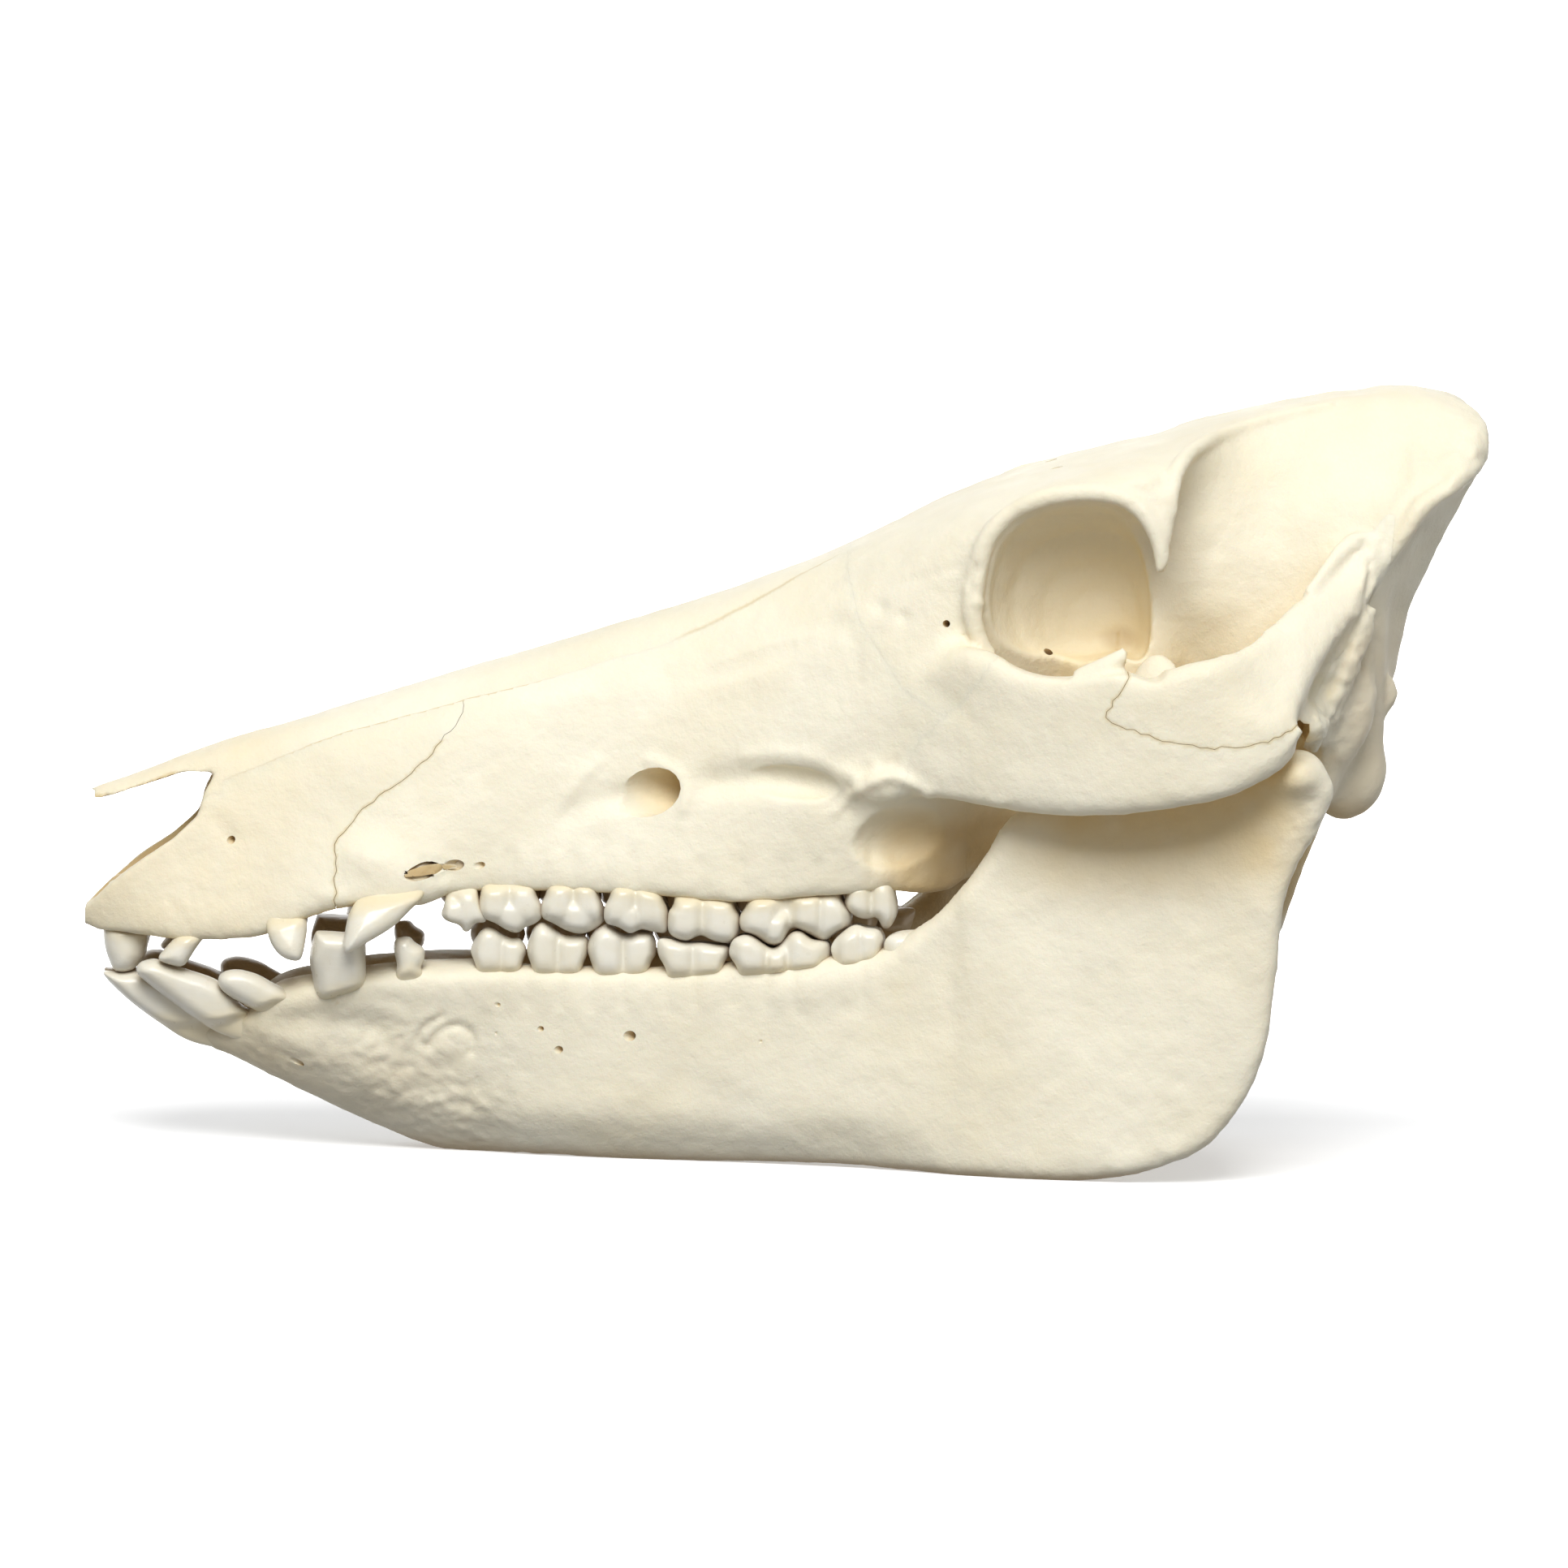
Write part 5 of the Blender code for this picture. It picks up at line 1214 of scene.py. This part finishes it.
def settle(bones, teeth):
    """Tilts the skull to its pose at rest and puts it where the solids stand, within their box."""
    turn = Matrix.Rotation(-REST_TILT, 4, "Y")
    for obj in bones + teeth:
        obj.data.transform(turn)
    points = np.vstack([coordinates(bone.data) for bone in bones])
    low = points.min(axis=0)
    high = points.max(axis=0)
    middle = (CAD_BOX[0] + CAD_BOX[1]) / 2
    centre = (low + high) / 2
    place = Matrix.Translation((
        middle.x - centre[0], middle.y - centre[1], -low[2] - FLAT_DEPTH * MM,
    ))
    for obj in bones + teeth:
        obj.data.transform(place)
        inside = np.clip(coordinates(obj.data), CAD_BOX[0], CAD_BOX[1])
        set_coordinates(obj.data, inside)
    return place


# Materials

CREAM = (0.81, 0.74, 0.555, 1.0)
PALE = (0.87, 0.815, 0.65, 1.0)
MOTTLED = (0.80, 0.745, 0.60, 1.0)
# Warm tan for painted shade in recesses and on inner walls, and for a slight warmth at the snout.
WARM = (0.80, 0.63, 0.34, 1.0)
# Tan for the sutures' stains and for painted shade.
STAIN_AND_SHADE = (0.60, 0.44, 0.19, 1.0)
# Tan for painted shade in crevices, mouth, chin, rear and on the teeth's inner sides, and for a
# patch in the eye socket.
TAN = (0.47, 0.32, 0.15, 1.0)
ORANGE = (0.66, 0.36, 0.06, 1.0)
ENAMEL = (0.82, 0.785, 0.675, 1.0)
ENAMEL_CREAM = (0.78, 0.73, 0.59, 1.0)
ENAMEL_GUM = (0.77, 0.66, 0.42, 1.0)
ENAMEL_GREY = (0.64, 0.62, 0.55, 1.0)
# Dark brown for painted shade in the crevices of the teeth.
DARK_BROWN = (0.27, 0.16, 0.07, 1.0)


def new_material(name):
    material = bpy.data.materials.new(name)
    material.use_nodes = True
    tree = material.node_tree
    return material, tree, tree.nodes["Principled BSDF"]


def preset(node, **values):
    """Sets sockets to fixed values. An underscore stands for a blank in their names."""
    for name, value in values.items():
        node.inputs[name.replace("_", " ")].default_value = value


def noise(tree, coords, scale, detail, roughness=0.55):
    node = tree.nodes.new("ShaderNodeTexNoise")
    preset(node, Scale=scale, Detail=detail, Roughness=roughness)
    tree.links.new(coords, node.inputs["Vector"])
    return node.outputs["Fac"]


def remap(tree, value, low, high, to_low=0.0, to_high=1.0):
    node = tree.nodes.new("ShaderNodeMapRange")
    preset(node, From_Min=low, From_Max=high, To_Min=to_low, To_Max=to_high)
    tree.links.new(value, node.inputs["Value"])
    return node.outputs["Result"]


def blend(tree, share, first, second):
    """Colour mixed by a share. Each colour is a socket or a fixed value."""
    node = tree.nodes.new("ShaderNodeMix")
    node.data_type = "RGBA"
    if isinstance(share, float):
        node.inputs[0].default_value = share
    else:
        tree.links.new(share, node.inputs[0])
    for socket, colour in ((node.inputs[6], first), (node.inputs[7], second)):
        if isinstance(colour, tuple):
            socket.default_value = colour
        else:
            tree.links.new(colour, socket)
    return node.outputs[2]


def maths(tree, kind, first, second):
    node = tree.nodes.new("ShaderNodeMath")
    node.operation = kind
    node.use_clamp = True
    for socket, value in ((node.inputs[0], first), (node.inputs[1], second)):
        if isinstance(value, float):
            socket.default_value = value
        else:
            tree.links.new(value, socket)
    return node.outputs[0]


def attribute(tree, name):
    node = tree.nodes.new("ShaderNodeAttribute")
    node.attribute_name = name
    return node.outputs["Fac"]


def crevices(tree, distance, own_only=False):
    """How open a place is, 1 out in the open and 0 deep inside, within this distance."""
    node = tree.nodes.new("ShaderNodeAmbientOcclusion")
    node.samples = 6
    node.only_local = own_only
    preset(node, Distance=distance)
    return node.outputs["AO"]


def bumps(tree, shader, layers):
    """Chained bump nodes: each layer is a height socket, its strength and its distance."""
    normal = None
    for height, strength, distance in layers:
        node = tree.nodes.new("ShaderNodeBump")
        preset(node, Strength=strength, Distance=distance)
        tree.links.new(height, node.inputs["Height"])
        if normal:
            tree.links.new(normal, node.inputs["Normal"])
        normal = node.outputs["Normal"]
    tree.links.new(normal, shader.inputs["Normal"])


def bone_look(name, shift, own_only):
    """Dry, bleached bone: cream with pale patches, with painted warm and tan shade in its crevices
    and openings.
    """
    material, tree, shader = new_material(name)
    place = tree.nodes.new("ShaderNodeTexCoord")
    moved = tree.nodes.new("ShaderNodeMapping")
    preset(moved, Location=(shift, 0.3 * shift, 0))
    tree.links.new(place.outputs["Object"], moved.inputs["Vector"])
    coords = moved.outputs["Vector"]
    broad = remap(tree, noise(tree, coords, 28, 3), 0.35, 0.65)
    colour = blend(tree, broad, CREAM, PALE)
    mottled = remap(tree, noise(tree, coords, 160, 5), 0.3, 0.7, 0.0, 0.5)
    colour = blend(tree, mottled, colour, MOTTLED)
    # Painted shade: warm tan in recesses and openings, from ambient occlusion within 45 mm.
    hollow = remap(tree, crevices(tree, 0.045, own_only), 0.62, 0.22, 0.0, 0.8)
    colour = blend(tree, hollow, colour, WARM)
    # Painted warm shade kept on the points: inner walls of nose and mouth, under the cheek arch and
    # in its shadow on the jaw, and a slight warmth at the front of the snout.
    colour = blend(tree, attribute(tree, "warm"), colour, WARM)
    # Painted shade: deeper tan in narrow crevices, from ambient occlusion within 7 mm.
    deep = remap(tree, crevices(tree, 0.007), 0.45, 0.05, 0.0, 0.8)
    colour = blend(tree, deep, colour, TAN)
    # Suture stains together with painted tan shade, painted brown shade with a browner patch in the
    # eye socket, and orange where light shines through thin bone.
    for mark, tint in (("stain", STAIN_AND_SHADE), ("brown", TAN), ("orange", ORANGE)):
        colour = blend(tree, attribute(tree, mark), colour, tint)
    tree.links.new(colour, shader.inputs["Base Color"])
    rough = remap(tree, noise(tree, coords, 90, 4), 0.3, 0.7, 0.5, 0.66)
    tree.links.new(rough, shader.inputs["Roughness"])
    preset(shader, Subsurface_Weight=0.12, Subsurface_Radius=(1.0, 0.55, 0.28),
           Subsurface_Scale=0.003, Specular_IOR_Level=0.4)
    pores = tree.nodes.new("ShaderNodeTexVoronoi")
    preset(pores, Scale=420)
    tree.links.new(coords, pores.inputs["Vector"])
    pits = remap(tree, pores.outputs["Distance"], 0.0, 0.16)
    bumps(tree, shader, (
        (noise(tree, coords, 120, 5), 0.6, 0.0010),
        (noise(tree, coords, 620, 6, 0.7), 0.4, 0.0004),
        (pits, 0.15, 0.0003),
    ))
    return material


def enamel_look(name, grey):
    """Tooth enamel: whitish and softly glossy, yellower at the gum and greyer at the tips, with
    painted brown shade on its inner sides and in crevices. The attribute crown says how far down the
    crown a point lies, from the gum at 0 to the tip at 1."""
    material, tree, shader = new_material(name)
    place = tree.nodes.new("ShaderNodeTexCoord")
    coords = place.outputs["Object"]
    crown = attribute(tree, "crown")
    patchy = noise(tree, coords, 170, 4)
    colour = blend(tree, remap(tree, patchy, 0.35, 0.65), ENAMEL, ENAMEL_CREAM)
    wavering = maths(tree, "ADD", crown, remap(tree, noise(tree, coords, 240, 2), 0, 1, 0.0, 0.2))
    colour = blend(tree, remap(tree, wavering, 0.45, 0.1, 0.0, 0.75), colour, ENAMEL_GUM)
    colour = blend(tree, remap(tree, wavering, 0.6, 1.0, 0.0, grey), colour, ENAMEL_GREY)
    # Painted shade: brown on the crowns' inner sides.
    colour = blend(tree, attribute(tree, "brown"), colour, TAN)
    # Painted shade: dark brown in the narrow crevices between and around the crowns, from ambient
    # occlusion.
    deep = remap(tree, crevices(tree, 0.0035), 0.5, 0.05, 0.0, 0.75)
    colour = blend(tree, deep, colour, DARK_BROWN)
    tree.links.new(colour, shader.inputs["Base Color"])
    gloss = remap(tree, noise(tree, coords, 300, 3), 0.3, 0.7, 0.26, 0.4)
    tree.links.new(gloss, shader.inputs["Roughness"])
    preset(shader, Subsurface_Weight=0.2, Subsurface_Radius=(1.0, 0.8, 0.6),
           Subsurface_Scale=0.0012, Coat_Weight=0.18, Coat_Roughness=0.2)
    stretched = tree.nodes.new("ShaderNodeMapping")
    preset(stretched, Scale=(1, 1, 4))
    tree.links.new(coords, stretched.inputs["Vector"])
    bumps(tree, shader, (
        (noise(tree, stretched.outputs["Vector"], 260, 3), 0.15, 0.0003),
        (noise(tree, coords, 900, 3), 0.06, 0.0001),
    ))
    return material


# Stains, painted shade and other marks, kept as values on a mesh's points in the working frame.

# Where light shines orange through thin bone: (x, half width, z), radius and strength.
ORANGE_SPOTS = (
    (54.2, 24.5, 141.5, 2.6, 0.9), (52.6, 25.5, 142.6, 1.8, 0.8), (32.6, 42.0, 122.2, 1.3, 0.8),
)

# Upper edge of the painted shade on the underside of the nasal tip: its x and z.
NASAL_UNDERSIDE = ((-143, -130, -125.5), (83.5, 88.5, 87.9))
# Height from the gum at which a crown counts as at its tip.
CROWN_HEIGHT = 9.5
# Edges sharper than this stay sharp.
SHARP_FROM = math.radians(52)


def add_values(mesh, name, values):
    layer = mesh.attributes.new(name, "FLOAT", "POINT")
    layer.data.foreach_set("value", np.clip(values, 0, 1).astype(np.float32))


def nasal_edge(points):
    """The distance of each point to the skin of the block that holds the nasal bones."""
    rows = ((-25, 14.6, 113.5), (0, 13, 122), (14, 9, 128))
    x, z = points[:, 0], points[:, 2]
    return np.abs(np.maximum(np.abs(points[:, 1]) - table(rows, 1, x), table(rows, 2, x) - z))


def outwards(mesh, points):
    """How far the skin at each point faces away from the middle of the head."""
    return skin_normals(mesh)[:, 1] * np.sign(points[:, 1])


def paint_bone(mesh, seams):
    """Paints shade: warm tan on the inner walls of nose and mouth, in the hollow under the cheek
    arch and in the arch's shadow on the jaw, brown on the chin and the rear, tan under the nasal
    tip.
    Also marks the sutures' stains, a browner patch in the eye socket, a slight warmth at the front
    of the snout and the orange spots."""
    points = coordinates(mesh) / MM
    x, z = points[:, 0], points[:, 2]
    wide = np.abs(points[:, 1])
    inner = soft_step(-outwards(mesh, points), 0.05, 0.5)
    # Painted shade, warm and tan, on the inner walls of nose and mouth, which lie in shade.
    nose = inner * soft_step(-x, 45, 60) * soft_step(z, 56, 62)
    mouth = inner * soft_step(z, 30, 44) * soft_step(-z, -76, -66) * soft_step(-x, -60, -30)
    # Painted shade in the recess under the cheek arch's root, and the arch's painted shadow on the
    # top of the jaw's ramus.
    tuber = soft_step(x, 14, 30) * soft_step(-z, -84, -76) * soft_step(z, 56, 62)
    under_arch = soft_step(z, 58, 84) * soft_step(x, 40, 60) * soft_step(-x, -112, -98)
    under_arch *= soft_step(-z, -106, -98)
    # Painted shade on the chin's lower front, which faces downwards.
    chin = soft_step(-x, 58, 84) * soft_step(-z, -36, -26)
    low_bone = "mandible" in mesh.name
    # Warm painted shade from the masks above, and a slight warmth towards the front of the snout.
    warm = np.maximum(nose, mouth)
    warm = np.maximum(warm, under_arch if low_bone else tuber)
    warm = np.maximum(warm, 0.3 * soft_step(-x, 92, 118))
    # Painted shade on the condyles and the back of the head, which face away from the light.
    rear = soft_step(x, 112, 122) * soft_step(-z, -132, -112)
    patchy = 0.8 + 0.2 * noise_at(points, 4.0, 8)
    # Tan and brown painted shade from the masks above; the sutures' real stains are added below.
    stain = 0.8 * nose + 0.3 * (under_arch if low_bone else tuber)
    brown = 0.9 * mouth + (0.16 * chin if low_bone else 0.5 * tuber + 0.3 * rear)
    # Painted shade on the underside of the nasal tip.
    if "nasal" in mesh.name:
        under = np.interp(x, *NASAL_UNDERSIDE)
        stain = np.maximum(stain, 0.75 * soft_step(under - z, -0.2, 0.3) * soft_step(-x, 125, 127))
    if not low_bone:
        floor = soft_step(-np.hypot((x - 70.5) / 5.5, (z - 117.5) / 3.5), -1, -0.3)
        brown += 0.55 * floor * (wide > 12) * (wide < 46)
    for seam in seams:
        away = path_distance(points[:, [0, 2]], seam)
        stain = np.maximum(stain, 0.7 * soft_step(-away, -0.5, -0.05) * (wide > 6))
    crease = soft_step(-nasal_edge(points), -0.5, -0.1) * soft_step(x, -26, -18)
    stain = np.maximum(stain, 0.6 * crease * soft_step(-x, -14, -8))
    orange = np.zeros(len(points))
    for cx, cw, cz, radius, share in ORANGE_SPOTS:
        away = np.sqrt((x - cx) ** 2 + (wide - cw) ** 2 + (z - cz) ** 2)
        orange = np.maximum(orange, share * soft_step(-away, -radius, -0.5 * radius))
    for mark, values in (("warm", warm), ("stain", stain), ("brown", brown), ("orange", orange)):
        add_values(mesh, mark, values * patchy)


def paint_crowns(mesh, gum, up):
    """Marks how far down the crown each point lies, and paints brown shade on the inner sides."""
    points = coordinates(mesh) / MM
    # Painted shade: brown on the crowns' inner sides, which face into the mouth and lie in shade.
    inner = soft_step(-outwards(mesh, points), 0.0, 0.4)
    add_values(mesh, "brown", inner * 0.8)
    rise = up * (points[:, 2] - np.interp(points[:, 0], *np.array(gum).T))
    add_values(mesh, "crown", rise / CROWN_HEIGHT)


def dress(obj, material):
    obj.data.materials.clear()
    obj.data.materials.append(material)
    obj.data.shade_smooth()
    obj.data.set_sharp_from_angle(angle=SHARP_FROM)


# The stage

# Metres of the model to one pixel of the photo, at the middle of the skull.
PIXEL = 0.1732e-3
PHOTO_SIDE = 1932
DISTANCE = 3.0
ELEVATION = math.radians(4.5)
AZIMUTH = math.radians(-1.5)
TARGET = Vector((0, 0, 84.9e-3))
SENSOR = 36


def aimed(azimuth, elevation, target, distance):
    """A camera's placing: it looks at the target from this far away."""
    back = Vector((
        math.sin(azimuth) * math.cos(elevation), -math.cos(azimuth) * math.cos(elevation),
        math.sin(elevation),
    ))
    right = Vector((math.cos(azimuth), math.sin(azimuth), 0))
    placing = Matrix((right, back.cross(right), back)).transposed().to_4x4()
    placing.translation = target + back * distance
    return placing


def make_camera(place):
    data = bpy.data.cameras.new("photo_camera")
    data.sensor_width = SENSOR
    data.lens = SENSOR * DISTANCE / (PIXEL * PHOTO_SIDE)
    data.clip_end = 100
    camera = bpy.data.objects.new("photo_camera", data)
    bpy.context.scene.collection.objects.link(camera)
    turn = Matrix.Rotation(-REST_TILT, 4, "Y")
    camera.matrix_world = place @ turn @ aimed(AZIMUTH, ELEVATION, TARGET, DISTANCE)
    bpy.context.scene.camera = camera


def stage_look():
    material, tree, shader = new_material("pale_floor")
    place = tree.nodes.new("ShaderNodeTexCoord")
    colour = blend(tree, noise(tree, place.outputs["Object"], 3, 3),
                   (0.90, 0.90, 0.90, 1.0), (0.93, 0.93, 0.93, 1.0))
    tree.links.new(colour, shader.inputs["Base Color"])
    tree.links.new(colour, shader.inputs["Emission Color"])
    preset(shader, Roughness=0.8, Emission_Strength=0.4)
    return material


def make_stage():
    """A pale floor that curves up into a wall far behind."""
    profile = [(-3.0, 0.0), (1.6, 0.0)]
    for step in range(1, 13):
        angle = math.pi / 2 * step / 12
        profile.append((1.6 + 0.8 * math.sin(angle), 0.8 - 0.8 * math.cos(angle)))
    profile.append((2.4, 3.5))
    points = [(x, y, z) for x in (-4.0, 4.0) for y, z in profile]
    count = len(profile)
    faces = [(k, k + 1, k + 1 + count, k + count) for k in range(count - 1)]
    mesh = bpy.data.meshes.new("floor")
    mesh.from_pydata(points, [], faces)
    floor = add_object("floor", mesh)
    mesh.shade_smooth()
    mesh.materials.append(stage_look())
    floor.visible_diffuse = False


def area_light(name, place, target, size, power):
    data = bpy.data.lights.new(name, "AREA")
    data.shape = "SQUARE"
    data.size = size
    data.energy = power
    light = bpy.data.objects.new(name, data)
    bpy.context.scene.collection.objects.link(light)
    light.location = place
    light.rotation_euler = (Vector(place) - Vector(target)).to_track_quat("Z", "Y").to_euler()


def make_lights():
    world = bpy.data.worlds.new("studio")
    world.use_nodes = True
    tree = world.node_tree
    place = tree.nodes.new("ShaderNodeTexCoord")
    split = tree.nodes.new("ShaderNodeSeparateXYZ")
    tree.links.new(place.outputs["Generated"], split.inputs["Vector"])
    high = remap(tree, split.outputs["Z"], -0.5, 0.5)
    colour = blend(tree, high, (0.58, 0.585, 0.60, 1.0), (0.97, 0.985, 1.0, 1.0))
    background = tree.nodes["Background"]
    tree.links.new(colour, background.inputs["Color"])
    preset(background, Strength=0.45)
    bpy.context.scene.world = world
    area_light("key", (-0.12, -1.5, 1.46), (0, 0, 0.08), 1.1, 40.5)
    area_light("backdrop", (0, 0.7, 1.3), (0, 2.4, 0.5), 2.0, 70)
    bpy.context.scene.view_settings.view_transform = "Standard"


# The CAD node that each bone replaces.
NODE_OF = {f"bone_{node}": node for node in (
    "zygomatic_left", "zygomatic_right", "temporal_arch_left", "temporal_arch_right", "maxilla",
    "braincase", "mandible_left", "mandible_right",
)}
NODE_OF["bone_nasal"] = "nasal_bones"
NODE_OF["bone_incisive"] = "incisive_bones"
# How grey the crowns turn towards their tips.
GREY = {"upper_front": 0.35, "upper_cheek": 0.6, "lower_front": 0.15, "lower_cheek": 0.0}


def main():
    chance = random.Random(SEED)
    cheek = jagged(ZYGOMATIC, chance)
    front = jagged(INCISIVE, chance)
    skull = make_cranium()
    jaw = make_jaw()
    bones = part_cranium(skull, cheek, front) + part_jaw(jaw)
    teeth = all_teeth(chance)
    seams = ([(x, z) for x, z in cheek if x > 60 and 97 < z < 119],
             [(x, z) for x, z in front if x > -96 and z < 96])
    for bone in bones:
        bone.data.name = bone.name
        paint_bone(bone.data, seams)
    for name, row in teeth.items():
        paint_crowns(row.data, *((UPPER_GUM, -1) if "upper" in name else (LOWER_GUM, 1)))
    place = settle(bones, list(teeth.values()))
    for step, bone in enumerate(bones):
        dress(bone, bone_look(f"{bone.name}_look", 0.07 * step, "mandible" in bone.name))
        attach(bone, "root")
        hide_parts(NODE_OF[bone.name])
    looks = {f"teeth_{place}": enamel_look(f"enamel_{place}", grey) for place, grey in GREY.items()}
    for name, row in teeth.items():
        dress(row, looks[name.rsplit("_", 1)[0]])
        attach(row, "root")
    make_stage()
    make_lights()
    make_camera(place)


main()
